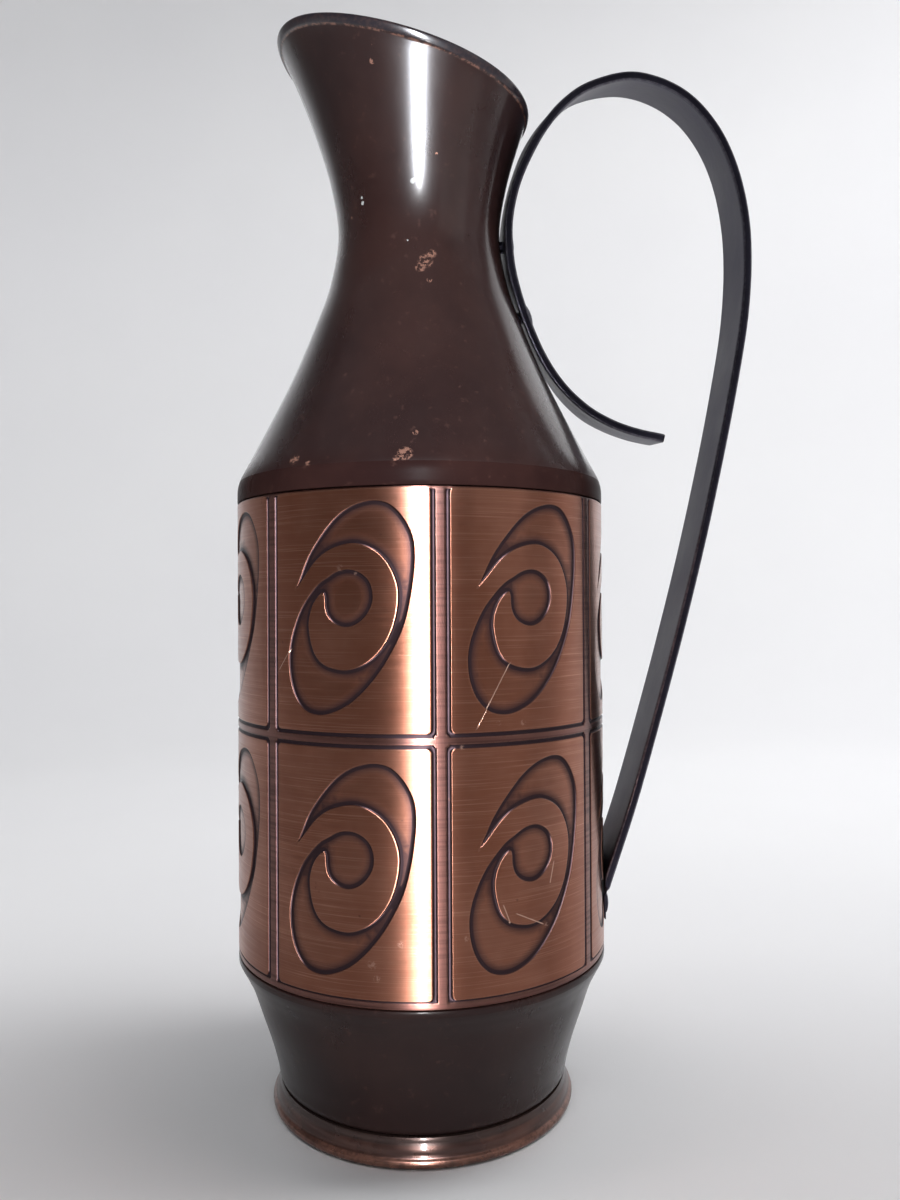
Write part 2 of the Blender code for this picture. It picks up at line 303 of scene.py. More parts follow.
def smooth(low, high, x):
    t = min(max((x - low) / (high - low), 0.0), 1.0)
    return t * t * (3 - 2 * t)


def piece(name, mesh, slot, *nodes):
    obj = bpy.data.objects.new(name, mesh)
    bpy.context.scene.collection.objects.link(obj)
    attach(obj, "root")
    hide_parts(*nodes)
    return obj


def finish_mesh(bm, name, materials, sharp=40.0, recalc=True):
    if recalc:
        bmesh.ops.recalc_face_normals(bm, faces=bm.faces)
    mesh = bpy.data.meshes.new(name)
    bm.to_mesh(mesh)
    bm.free()
    mesh.shade_smooth()
    mesh.set_sharp_from_angle(angle=math.radians(sharp))
    for mat in materials:
        mesh.materials.append(mat)
    return mesh


# ------------------------------------------------------------ material nodes
class Tree:
    """Short names for building one material's nodes."""

    def __init__(self, name):
        self.mat = bpy.data.materials.new(name)
        self.mat.use_nodes = True
        self.tree = self.mat.node_tree
        self.bsdf = self.tree.nodes["Principled BSDF"]
        self.coords = self.add("ShaderNodeTexCoord").outputs["Object"]

    def add(self, kind, **props):
        made = self.tree.nodes.new(kind)
        for key, value in props.items():
            setattr(made, key, value)
        return made

    def put(self, socket, value):
        if isinstance(value, bpy.types.NodeSocket):
            self.tree.links.new(value, socket)
        else:
            socket.default_value = value

    def math(self, op, a, b=0.0, c=0.0, clamp=False):
        made = self.add("ShaderNodeMath", operation=op, use_clamp=clamp)
        for socket, value in zip(made.inputs, (a, b, c)):
            self.put(socket, value)
        return made.outputs[0]

    def vmath(self, op, a, b=(0, 0, 0)):
        made = self.add("ShaderNodeVectorMath", operation=op)
        self.put(made.inputs[0], a)
        self.put(made.inputs[1], b)
        return made.outputs["Value"] if op in ("DOT_PRODUCT", "DISTANCE", "LENGTH") else made.outputs[0]

    def ramp(self, x, low, high, a=0.0, b=1.0, smooth=True):
        made = self.add(
            "ShaderNodeMapRange", interpolation_type="SMOOTHSTEP" if smooth else "LINEAR"
        )
        for socket, value in zip(made.inputs, (x, low, high, a, b)):
            self.put(socket, value)
        return made.outputs[0]

    def noise(self, scale, detail=3.0, rough=0.55, stretch=None, offset=(0, 0, 0), distort=0.0):
        vector = self.coords
        if stretch or any(offset):
            mapping = self.add("ShaderNodeMapping")
            self.put(mapping.inputs["Vector"], vector)
            mapping.inputs["Scale"].default_value = stretch or (1, 1, 1)
            mapping.inputs["Location"].default_value = offset
            vector = mapping.outputs[0]
        made = self.add("ShaderNodeTexNoise")
        self.put(made.inputs["Vector"], vector)
        made.inputs["Scale"].default_value = scale
        made.inputs["Detail"].default_value = detail
        made.inputs["Roughness"].default_value = rough
        made.inputs["Distortion"].default_value = distort
        return made.outputs[0]

    def mix(self, share, a, b):
        made = self.add("ShaderNodeMix", data_type="RGBA")
        self.put(made.inputs[0], share)
        for socket, value in ((made.inputs[6], a), (made.inputs[7], b)):
            self.put(socket, (*value, 1.0) if isinstance(value, tuple) and len(value) == 3 else value)
        return made.outputs[2]

    def blend(self, share, a, b):
        made = self.add("ShaderNodeMix", data_type="FLOAT")
        self.put(made.inputs[0], share)
        self.put(made.inputs[2], a)
        self.put(made.inputs[3], b)
        return made.outputs[0]

    def attribute(self, name):
        made = self.add("ShaderNodeAttribute")
        made.attribute_name = name
        return made.outputs["Fac"]

    def bump(self, height, distance, strength=1.0, normal=None):
        made = self.add("ShaderNodeBump")
        made.inputs["Strength"].default_value = strength
        made.inputs["Distance"].default_value = distance
        self.put(made.inputs["Height"], height)
        if normal is not None:
            self.put(made.inputs["Normal"], normal)
        return made.outputs[0]

    def spot(self, centre, radius, ragged, grain):
        """1 near a point of the surface, with a ragged edge, 0 away from it."""
        away = self.vmath("DISTANCE", self.coords, tuple(centre))
        edge = self.math("ADD", away, self.math("MULTIPLY", self.math("SUBTRACT", grain, 0.5), ragged * MM))
        return self.ramp(edge, radius * MM * 0.75, radius * MM, 1.0, 0.0)

    def set(self, **values):
        for key, value in values.items():
            self.put(self.bsdf.inputs[key.replace("_", " ")], value)


def lacquer_material(name, spots=(), specks=(), deep=1.0, gloss=1.0, ior=1.3, rim_wear=False):
    t = Tree(name)
    cloud = t.noise(26.0, 4.0, 0.6)
    fine = t.noise(420.0, 3.0, 0.6, offset=(0.3, 0.1, 0.2))
    grain = t.noise(900.0, 4.0, 0.7, offset=(1.3, 0.7, 0.2))
    brown = t.mix(
        t.ramp(cloud, 0.35, 0.68),
        (0.0080 * deep, 0.0036 * deep, 0.0034 * deep),
        (0.0130 * deep, 0.0058 * deep, 0.0050 * deep),
    )
    brown = t.mix(t.ramp(fine, 0.60, 0.78, 0.0, 0.30), brown, (0.050, 0.025, 0.020))
    worn = None
    for centre, radius, ragged in spots:
        mask = t.spot(centre, radius, ragged, grain)
        mask = t.math("MULTIPLY", mask, t.ramp(grain, 0.47, 0.60, 0.0, 0.8))
        worn = mask if worn is None else t.math("MAXIMUM", worn, mask)
    # pinholes in the lacquer all over, few and small
    pores = t.noise(520.0, 2.0, 0.5, offset=(4.1, 2.2, 0.9))
    pin = t.ramp(pores, 0.80, 0.84, 0.0, 0.6)
    worn = pin if worn is None else t.math("MAXIMUM", worn, pin)
    if rim_wear:
        edge = t.attribute("hem")
        rubbed = t.math("MULTIPLY", t.ramp(edge, 0.05, 0.40), t.ramp(edge, 0.5, 0.9, 1.0, 0.12))
        rubbed = t.math("MULTIPLY", rubbed, t.ramp(grain, 0.44, 0.60))
        worn = t.math("MAXIMUM", worn, t.math("MULTIPLY", rubbed, 0.35))
        brown = t.mix(t.ramp(edge, 0.5, 0.9, 0.0, 0.8), brown, (0.0065, 0.0060, 0.0085))
    colour = t.mix(worn, brown, (0.235, 0.120, 0.088))
    metal = t.math("MULTIPLY", worn, 0.8)
    for centre, radius in specks:
        dot = t.spot(centre, radius, radius * 1.8, grain)
        colour = t.mix(dot, colour, (0.17, 0.175, 0.17))
        metal = t.math("MULTIPLY", metal, t.math("SUBTRACT", 1.0, dot))
    smear = t.noise(60.0, 5.0, 0.65, stretch=(1.0, 1.0, 0.35), offset=(2.0, 5.0, 1.0))
    rough = t.math("ADD", t.ramp(smear, 0.3, 0.75, 0.26, 0.36), t.math("MULTIPLY", worn, 0.1))
    spun = t.noise(1.0, 2.0, 0.5, stretch=(30.0, 30.0, 900.0))
    waves = t.noise(22.0, 2.0, 0.5, offset=(7.0, 3.0, 5.0))
    relief = t.math("ADD", t.math("MULTIPLY", spun, 0.06), t.math("MULTIPLY", grain, 0.14))
    relief = t.math("ADD", relief, t.math("MULTIPLY", waves, 2.2))
    relief = t.math("SUBTRACT", relief, t.math("MULTIPLY", worn, 0.12))
    normal = t.bump(relief, 0.00012, 0.6)
    t.set(Base_Color=colour, Metallic=metal, Roughness=rough, Normal=normal)
    coat = t.math("MULTIPLY", t.math("SUBTRACT", 1.0, t.math("MULTIPLY", worn, 0.85)), gloss)
    if rim_wear:  # the lacquer goes dull towards the collar
        split = t.add("ShaderNodeSeparateXYZ")
        t.put(split.inputs[0], t.coords)
        coat = t.math("MULTIPLY", coat, t.ramp(split.outputs[2], 0.1663, 0.1720))
    t.set(Coat_Weight=coat, Coat_Roughness=0.15, Coat_Normal=t.bump(relief, 0.00012, 0.5))
    t.set(Coat_IOR=1.36, IOR=ior)
    return t.mat


def inside_material():
    t = Tree("dull_copper_inside")
    cloud = t.noise(18.0, 5.0, 0.65)
    stain = t.noise(70.0, 4.0, 0.6, offset=(3.0, 1.0, 2.0))
    colour = t.mix(t.ramp(cloud, 0.3, 0.7), (0.20, 0.095, 0.055), (0.34, 0.165, 0.10))
    colour = t.mix(t.ramp(stain, 0.5, 0.72, 0.0, 0.6), colour, (0.07, 0.045, 0.035))
    rings = t.noise(1.0, 2.0, 0.5, stretch=(20.0, 20.0, 700.0))
    t.set(
        Base_Color=colour,
        Metallic=0.75,
        Roughness=t.ramp(cloud, 0.3, 0.8, 0.42, 0.6),
        Normal=t.bump(t.math("ADD", rings, t.math("MULTIPLY", stain, 0.6)), 0.00012, 0.7),
    )
    return t.mat


def copper_material(scratches, rubs):
    t = Tree("brushed_copper_relief")
    # d: mm into a recess from its edge, below 0 on the raised faces; p: mm inside a panel
    d, p = t.attribute("recess"), t.attribute("panel")
    lines = t.noise(1.0, 3.0, 0.6, stretch=(38.0, 38.0, 4200.0))
    broad = t.noise(1.0, 2.0, 0.5, stretch=(22.0, 22.0, 1300.0), offset=(5.0, 3.0, 2.0))
    long_ = t.noise(1.0, 2.0, 0.5, stretch=(9.0, 9.0, 420.0), offset=(1.0, 8.0, 2.0))
    cloud = t.noise(34.0, 4.0, 0.6, offset=(2.0, 6.0, 1.0))
    grain = t.noise(1100.0, 3.0, 0.6)
    warm = t.mix(t.ramp(cloud, 0.32, 0.70), (0.305, 0.114, 0.066), (0.410, 0.177, 0.114))
    warm = t.mix(t.ramp(broad, 0.40, 0.68, 0.0, 0.30), warm, (0.30, 0.108, 0.066))
    warm = t.mix(t.ramp(lines, 0.52, 0.72, 0.0, 0.35), warm, (0.74, 0.385, 0.265))
    warm = t.mix(t.ramp(long_, 0.55, 0.75, 0.0, 0.15), warm, (0.27, 0.100, 0.063))
    # the floor of a recess keeps more of its brown tone than the faces that the brush rubs
    wander = t.math("MULTIPLY", t.math("SUBTRACT", cloud, 0.5), 0.9)
    floor = t.ramp(d, 0.05, 0.45)
    floor_colour = t.mix(0.20, warm, (0.17, 0.068, 0.045))
    colour = t.mix(floor, warm, floor_colour)
    bar = t.ramp(p, -0.35, 0.05, 1.0, 0.0)
    bar_colour = t.mix(t.ramp(broad, 0.4, 0.7), (0.205, 0.095, 0.082), (0.110, 0.052, 0.048))
    colour = t.mix(t.math("MULTIPLY", bar, 0.85), colour, bar_colour)
    # dark patina left along the foot of every wall
    shore = t.math("ADD", d, wander)
    near = t.math("MULTIPLY", t.ramp(d, -0.10, 0.15), t.ramp(shore, 0.7, 3.2, 1.0, 0.0))
    core = t.math("MULTIPLY", t.ramp(d, -0.10, 0.12), t.ramp(d, 0.8, 1.7, 1.0, 0.0))
    patina = t.math("MAXIMUM", t.math("MULTIPLY", near, 0.82), t.math("MULTIPLY", core, 0.97))
    colour = t.mix(patina, colour, (0.030, 0.019, 0.024))
    # rubbed edge of the raised faces, made lighter: partly real wear, partly a painted highlight along the rounded edge
    rub_and_highlight = t.math("MULTIPLY", t.ramp(d, -0.42, -0.16), t.ramp(d, -0.1, 0.06, 1.0, 0.0))
    rub_and_highlight = t.math("MULTIPLY", rub_and_highlight, t.ramp(grain, 0.38, 0.55, 0.35, 1.0))
    colour = t.mix(t.math("MULTIPLY", rub_and_highlight, 0.10), colour, (0.74, 0.42, 0.31))
    # tarnish specks and the scratches across the panels
    specks = t.noise(330.0, 2.0, 0.5, offset=(9.0, 4.0, 3.0))
    colour = t.mix(t.ramp(specks, 0.74, 0.80, 0.0, 0.5), colour, (0.11, 0.05, 0.04))
    cut = None
    for (turn_a, low), (turn_b, high), width in scratches:
        low_end, high_end = (
            Vector(polar(BODY_R, math.radians(turn), z)) for turn, z in ((turn_a, low), (turn_b, high))
        )
        middle = math.radians((turn_a + turn_b) / 2)
        normal = (high_end - low_end).cross(Vector((math.sin(middle), -math.cos(middle), 0.0))).normalized()
        level = normal.dot(low_end)
        across = t.math("ABSOLUTE", t.math("SUBTRACT", t.vmath("DOT_PRODUCT", t.coords, tuple(normal)), level))
        across = t.math("ADD", across, t.math("MULTIPLY", t.math("SUBTRACT", grain, 0.5), 0.00010))
        half = (high_end - low_end).length / 2
        away = t.vmath("DISTANCE", t.coords, tuple((high_end + low_end) / 2))
        along = t.ramp(away, half * 0.8, half, 1.0, 0.0)
        one = t.math("MULTIPLY", t.ramp(across, width * MM * 0.4, width * MM, 1.0, 0.0), along)
        cut = one if cut is None else t.math("MAXIMUM", cut, one)
    if cut is not None:
        colour = t.mix(t.math("MULTIPLY", cut, 0.75), colour, (0.85, 0.56, 0.43))
    # pale places where something has rubbed the face
    for turn, z, size in rubs:
        mark = t.spot(polar(BODY_R, math.radians(turn), z), size, size * 4.0, grain)
        mark = t.math("MULTIPLY", mark, t.ramp(grain, 0.42, 0.58))
        colour = t.mix(t.math("MULTIPLY", mark, 0.45), colour, (0.82, 0.50, 0.38))
    metal = t.math("SUBTRACT", 1.0, t.math("MULTIPLY", patina, 0.15))
    rough = t.ramp(broad, 0.3, 0.75, 0.37, 0.44)
    rough = t.math("ADD", rough, t.math("MULTIPLY", patina, 0.16))
    height = t.math("ADD", t.math("MULTIPLY", lines, 0.55), t.math("MULTIPLY", broad, 0.4))
    height = t.math("ADD", height, t.math("MULTIPLY", cloud, 0.6))
    if cut is not None:
        height = t.math("SUBTRACT", height, t.math("MULTIPLY", cut, 0.8))
    t.set(Base_Color=colour, Metallic=metal, Roughness=rough)
    t.set(Normal=t.bump(height, 0.00006, 0.55), Anisotropic=1.0, Anisotropic_Rotation=0.25)
    t.set(Coat_Weight=t.math("MULTIPLY", t.math("SUBTRACT", 1.0, patina), 0.35), Coat_Roughness=0.2, Coat_IOR=1.36)
    tangent = t.add("ShaderNodeTangent", direction_type="RADIAL", axis="Z")
    t.tree.links.new(tangent.outputs[0], t.bsdf.inputs["Tangent"])
    return t.mat


def foot_material():
    t = Tree("worn_foot_copper")
    cloud = t.noise(60.0, 4.0, 0.65)
    grain = t.noise(700.0, 4.0, 0.65, offset=(2.0, 1.0, 0.0))
    rings = t.noise(1.0, 2.0, 0.5, stretch=(30.0, 30.0, 1800.0))
    lip = t.attribute("lip")
    base = t.mix(t.ramp(cloud, 0.35, 0.7), (0.038, 0.018, 0.0145), (0.080, 0.037, 0.027))
    base = t.mix(t.ramp(rings, 0.5, 0.75, 0.0, 0.5), base, (0.032, 0.018, 0.016))
    worn = t.math("MULTIPLY", t.ramp(lip, 0.25, 0.95), t.ramp(grain, 0.36, 0.60, 0.25, 1.0))
    colour = t.mix(t.math("MULTIPLY", worn, 0.24), base, (0.38, 0.170, 0.115))
    # the foot's top, next to the cup, and its inner face are made darker
    dark_top_and_inside = t.ramp(lip, -0.6, -0.1, 1.0, 0.0)
    colour = t.mix(t.math("MULTIPLY", dark_top_and_inside, 0.7), colour, (0.03, 0.02, 0.018))
    t.set(
        Base_Color=colour,
        Metallic=0.8,
        Roughness=t.ramp(cloud, 0.3, 0.8, 0.24, 0.38),
        Normal=t.bump(
            t.math("ADD", t.math("MULTIPLY", rings, 0.7), t.math("MULTIPLY", grain, 0.5)), 0.00008, 0.6
        ),
        Coat_Weight=0.6,
        Coat_Roughness=0.12,
        Coat_IOR=1.4,
    )
    return t.mat


def iron_material(name, edge_name=None, spots=(), dark=1.0):
    t = Tree(name)
    cloud = t.noise(38.0, 4.0, 0.6)
    grain = t.noise(820.0, 4.0, 0.68, offset=(1.0, 2.0, 3.0))
    pits = t.noise(330.0, 3.0, 0.6, offset=(5.0, 1.0, 3.0))
    hammer = t.noise(95.0, 2.0, 0.4, offset=(2.0, 7.0, 3.0))
    base = t.mix(
        t.ramp(cloud, 0.35, 0.70),
        (0.0340 * dark, 0.0318 * dark, 0.0480 * dark),
        (0.0560 * dark, 0.0523 * dark, 0.0785 * dark),
    )
    base = t.mix(t.ramp(pits, 0.62, 0.76, 0.0, 0.45), base, (0.055, 0.048, 0.050))
    colour = base
    metal = 0.6
    if edge_name:
        # the bar's rounded corners are made lighter: partly rubbed iron, partly a painted highlight along the edge
        edge = t.attribute(edge_name)
        rub_and_highlight = t.math("MULTIPLY", t.ramp(edge, 0.78, 1.0), t.ramp(grain, 0.40, 0.60, 0.5, 1.0))
        colour = t.mix(t.math("MULTIPLY", rub_and_highlight, 0.7), base, (0.24, 0.23, 0.27))
        metal = t.math("ADD", 0.6, t.math("MULTIPLY", rub_and_highlight, 0.3))
    for centre, radius, ragged in spots:
        mask = t.math("MULTIPLY", t.spot(centre, radius, ragged, grain), t.ramp(grain, 0.40, 0.55))
        colour = t.mix(mask, colour, (0.42, 0.20, 0.13))
    t.set(
        Base_Color=colour,
        Metallic=metal,
        Roughness=t.ramp(cloud, 0.3, 0.8, 0.38, 0.52),
        Normal=t.bump(
            t.math(
                "ADD",
                t.math("MULTIPLY", hammer, 1.5),
                t.math("ADD", t.math("MULTIPLY", grain, 0.30), t.math("MULTIPLY", pits, 0.25)),
            ),
            0.00014,
            0.6,
        ),
        Coat_Weight=0.0,
        IOR=1.25,
    )
    return t.mat


# ------------------------------------------------------------- turned pieces
def turned_mesh(name, section, around, materials, tags=None, inner=None, sharp=40.0, poles=False):
    """A turned piece as a mesh.

    tags is (attribute name, value per section point); inner(i) gives the number of
    the material for the section's face i; poles closes both ends on the axis.
    """
    sample = section(0.0) if callable(section) else section
    count = len(sample)
    ring = [section(2 * math.pi * k / around) if callable(section) else section for k in range(around)]
    points, faces, index = [], [], []
    if poles:
        body = [r[1:-1] for r in ring]
        count -= 2
    else:
        body = ring
    for k in range(around):
        angle = 2 * math.pi * k / around
        points += [polar(r, angle, z) for r, z in body[k]]
    for k in range(around):
        n = (k + 1) % around
        for i in range(count if not poles else count - 1):
            j = (i + 1) % count
            faces.append((k * count + i, n * count + i, n * count + j, k * count + j))
            index.append(i + (1 if poles else 0))
    if poles:
        start, end = len(points), len(points) + 1
        points += [polar(0.0, 0.0, sample[0][1]), polar(0.0, 0.0, sample[-1][1])]
        for k in range(around):
            n = (k + 1) % around
            faces.append((start, n * count, k * count))
            index.append(0)
            faces.append((end, k * count + count - 1, n * count + count - 1))
            index.append(count)
    mesh = bpy.data.meshes.new(name)
    mesh.from_pydata([tuple(p) for p in points], [], faces)
    if inner:
        mesh.polygons.foreach_set("material_index", [int(inner(i)) for i in index])
    if tags:
        label, values = tags
        attribute = mesh.attributes.new(label, "FLOAT", "POINT")
        per = values[1:-1] if poles else values
        data = list(per) * around + ([values[0], values[-1]] if poles else [])
        attribute.data.foreach_set("value", data)
    bm = bmesh.new()
    bm.from_mesh(mesh)
    bmesh.ops.recalc_face_normals(bm, faces=bm.faces)
    bm.to_mesh(mesh)
    bm.free()
    mesh.shade_smooth()
    mesh.set_sharp_from_angle(angle=math.radians(sharp))
    for mat in materials:
        mesh.materials.append(mat)
    return mesh


def make_neck(materials):
    low = BAND_TOP + GAP

    def section(angle):
        top = rim_height(angle)
        points = [(LAP_R, BAND_TOP - UPPER_LAP), (LAP_R, low)]
        points += [(BODY_R - 0.22, low), (BODY_R - 0.06, low + 0.07), (BODY_R, low + 0.25)]
        points += [(shoulder_radius(z), z) for z in (162.2, 163.4, 164.2, 164.8, 165.3)]
        points += [(shoulder_radius(z), z) for z in (165.7, 166.1, 166.5, 167.0, 167.7, 168.8)]
        straight = [170.5 + (244.0 - 170.5) * i / 34 for i in range(35)]
        end = top - HEM_H - 0.55
        flare = [244.0 + (end - 244.0) * i / 16 for i in range(1, 17)]
        points += [neck_point(z, 0.0) for z in straight + flare]
        hem = [
            (HEM_H + 0.22, 0.03),
            (HEM_H, 0.18),
            (HEM_H - 0.2, 0.36),
            (HEM_H - 0.5, HEM_T),
            (1.1, HEM_T),
            (0.55, HEM_T),
            (0.28, 0.36),
            (0.10, 0.20),
            (0.0, 0.0),
            (0.0, -0.35),
            (0.06, -0.62),
            (0.2, -0.86),
            (0.45, -WALL),
        ]
        points += [neck_point(top - drop, offset) for drop, offset in hem]
        inside = [end + 1.2] + list(reversed(flare)) + list(reversed(straight[:-1]))
        points += [neck_point(z, -WALL) for z in inside]
        points += [(LAP_IN_R, 167.6), (LAP_IN_R, 166.4), (LAP_IN_R, BAND_TOP - UPPER_LAP)]
        return points

    count = len(section(0.0))
    hem_start = 5 + 5 + 6 + 35 + 16
    hem_value = []
    for i in range(count):
        if hem_start + 2 <= i <= hem_start + 10:
            hem_value.append(1.0)
        elif hem_start <= i <= hem_start + 12:
            hem_value.append(0.4)
        else:
            hem_value.append(0.0)
    mesh = turned_mesh(
        "neck_shell",
        section,
        224,
        materials,
        tags=("hem", hem_value),
        inner=lambda i: 2 if i < 12 else i >= hem_start + 11,
    )
    return piece("neck_shell", mesh, "dark_lacquered_copper", "neck_shoulder")


def make_lower(materials):
    top = BAND_BOTTOM - GAP
    outer = [tuple(spline(LOWER_OUTLINE, i / 5)) for i in range((len(LOWER_OUTLINE) - 1) * 5 + 1)]
    outer = [(r, z) for z, r in reversed(outer)]
    section = [(0.0, FLOOR_Z), (12.0, FLOOR_Z), (24.0, FLOOR_Z), (36.0, FLOOR_Z)] + outer
    section += [(BODY_R, top - 0.25), (BODY_R - 0.07, top - 0.06), (BODY_R - 0.24, top)]
    turn = len(section)
    section += [
        (LAP_R, top),
        (LAP_R, BAND_BOTTOM + LOWER_LAP),
        (LAP_IN_R, BAND_BOTTOM + LOWER_LAP),
        (LAP_IN_R, 38.2),
    ]
    walls = [spline(LOWER_OUTLINE, i / 3) for i in range((len(LOWER_OUTLINE) - 1) * 3 + 1)]
    section += [(r - 1.06 * WALL, z + 0.3) for z, r in walls if 9.0 < z < 36.5]
    section += [(38.1, 9.2), (37.85, 8.5), (37.2, FLOOR_Z + WALL), (24.0, 8.0), (12.0, 8.0), (0.0, 8.0)]
    mesh = turned_mesh(
        "lower_cup",
        section,
        224,
        materials,
        inner=lambda i: i >= turn,
        poles=True,
    )
    return piece("lower_cup", mesh, "dark_lacquered_copper", "lower_body")


def arc(cx, cz, radius, start, end, steps):
    return [
        (
            cx + radius * math.cos(math.radians(start + (end - start) * i / steps)),
            cz + radius * math.sin(math.radians(start + (end - start) * i / steps)),
        )
        for i in range(steps + 1)
    ]


def make_foot(materials):
    top = FLOOR_Z - GAP
    section = [(FOOT_IN_R, 0.35), (FOOT_IN_R + 0.12, 0.1), (FOOT_IN_R + 0.4, 0.0)]
    section += [(FOOT_R - 1.4, 0.0)]
    section += arc(FOOT_R - 1.25, 1.25, 1.25, -84, 60, 12)
    section += [
        (FOOT_R - 1.02, 2.75),
        (FOOT_R - 1.12, 3.4),
        (FOOT_R - 1.22, 4.0),
        (FOOT_R - 1.5, 4.8),
        (FOOT_R - 1.78, 5.3),
        (FOOT_R - 1.95, 5.9),
        (FOOT_TOP_R + 0.1, 6.3),
        (FOOT_TOP_R - 0.1, top),
        (FOOT_IN_R - 1.2, top),
        (FOOT_IN_R - 0.7, 5.4),
        (FOOT_IN_R - 0.4, 4.0),
        (FOOT_IN_R - 0.15, 2.0),
    ]
    lip = []
    for r, z in section:
        if r > FOOT_R - 1.35 and z < 2.6:
            lip.append(1.0 if 0.35 < z else 0.5)
        elif z > 5.0 or r < FOOT_IN_R + 0.2:
            lip.append(-0.6)
        else:
            lip.append(0.0)
    mesh = turned_mesh("foot_ring_turned", section, 224, materials, tags=("lip", lip))
    return piece("foot_ring_turned", mesh, "worn_foot_copper", "foot_ring")


# --------------------------------------------------------------- relief band
def stroke(points, step=0.3):
    """Even points along a smooth curve through control points, ends kept."""
    dense = np.array([spline(points, i / 12) for i in range((len(points) - 1) * 12 + 1)])
    run = np.concatenate([[0.0], np.cumsum(np.hypot(*np.diff(dense, axis=0).T))])
    count = max(int(run[-1] / step), 4)
    even = np.linspace(0.0, run[-1], count + 1)
    made = np.stack([np.interp(even, run, dense[:, k]) for k in (0, 1)], axis=1)
    for _ in range(14):  # irons out the wobble between control points
        made[1:-1] += 0.25 * (made[:-2] - 2 * made[1:-1] + made[2:])
    return made


SPIRAL = np.concatenate([stroke(SPIRAL_OUT)[:-1], stroke(SPIRAL_BACK)[:-1]])


def inside_loop(points, loop):
    """Positive distance inside a closed loop, negative outside."""
    ax, ay = loop.astype(np.float32).T
    bx, by = np.roll(loop, -1, axis=0).astype(np.float32).T
    dx, dy = bx - ax, by - ay
    size = dx * dx + dy * dy
    rise = np.where(by == ay, np.float32(1e-9), by - ay)
    found = np.empty(len(points))
    for start in range(0, len(points), 3000):
        x, y = points[start : start + 3000].astype(np.float32).T[:, :, None]
        px, py = x - ax, y - ay
        share = np.clip((px * dx + py * dy) / size, 0.0, 1.0)
        away = ((px - share * dx) ** 2 + (py - share * dy) ** 2).min(1)
        crosses = ((ay > y) != (by > y)) & (x < ax + py * dx / rise)
        inside = np.count_nonzero(crosses, axis=1) % 2 == 1
        found[start : start + 3000] = np.where(inside, 1.0, -1.0) * np.sqrt(away)
    return found


def inside_box(s, z, cs, cz, hs, hz, corner):
    """Positive distance inside a rounded rectangle."""
    qs = np.abs(s - cs) - (hs - corner)
    qz = np.abs(z - cz) - (hz - corner)
    out = np.hypot(np.maximum(qs, 0.0), np.maximum(qz, 0.0))
    return corner - out - np.minimum(np.maximum(qs, qz), 0.0)


def band_fields(points):
    """(recess, panel) at (s, z): mm inside a recess, and mm inside a panel."""
    s, z = points[:, 0], points[:, 1]
    middle = COLUMN_W / 2
    panel = np.full(len(points), -1e9)
    spiral = np.full(len(points), -1e9)
    for low, high in PANELS:
        cz = (low + high) / 2
        panel = np.maximum(
            panel,
            inside_box(s, z, middle, cz, middle - PANEL_INSET, (high - low) / 2, PANEL_CORNER),
        )
        near = np.abs(z - cz) < 30.0
        if near.any():
            local = points[near] - np.array([middle, cz])
            spiral[near] = np.maximum(spiral[near], inside_loop(local, SPIRAL))
    side = np.minimum(s, COLUMN_W - s)
    ridge = np.maximum(RIDGE_V - side, RIDGE_H - np.abs(z - RIDGE_Z))
    ridge = np.maximum(ridge, inside_box(side, z, 0.0, RIDGE_Z, 1.85, 1.45, 0.7))
    ridge = np.maximum(ridge, BEAD_TOP - z)
    ridge = np.maximum(ridge, z - (BAND_TOP - 0.55))
    groove = np.minimum(-panel, -ridge)
    return np.maximum(groove, spiral), panel


def band_height(points):
    recess, panel = band_fields(points)
    z = points[:, 1]
    t = np.clip((recess + 0.12) / 0.46, 0.0, 1.0)
    drop = RELIEF_DEPTH * t * t * (3 - 2 * t)
    # bars stand a touch lower than the panels, and both edges of the band roll in
    bars = np.clip((-panel - 0.2) / 0.6, 0.0, 1.0) * 0.05
    low = np.clip((BAND_BOTTOM + 0.55 - z) / 0.55, 0.0, 1.0)
    high = np.clip((z - (BAND_TOP - 0.45)) / 0.45, 0.0, 1.0)
    return -drop - bars - 0.30 * low**2 - 0.28 * high**2


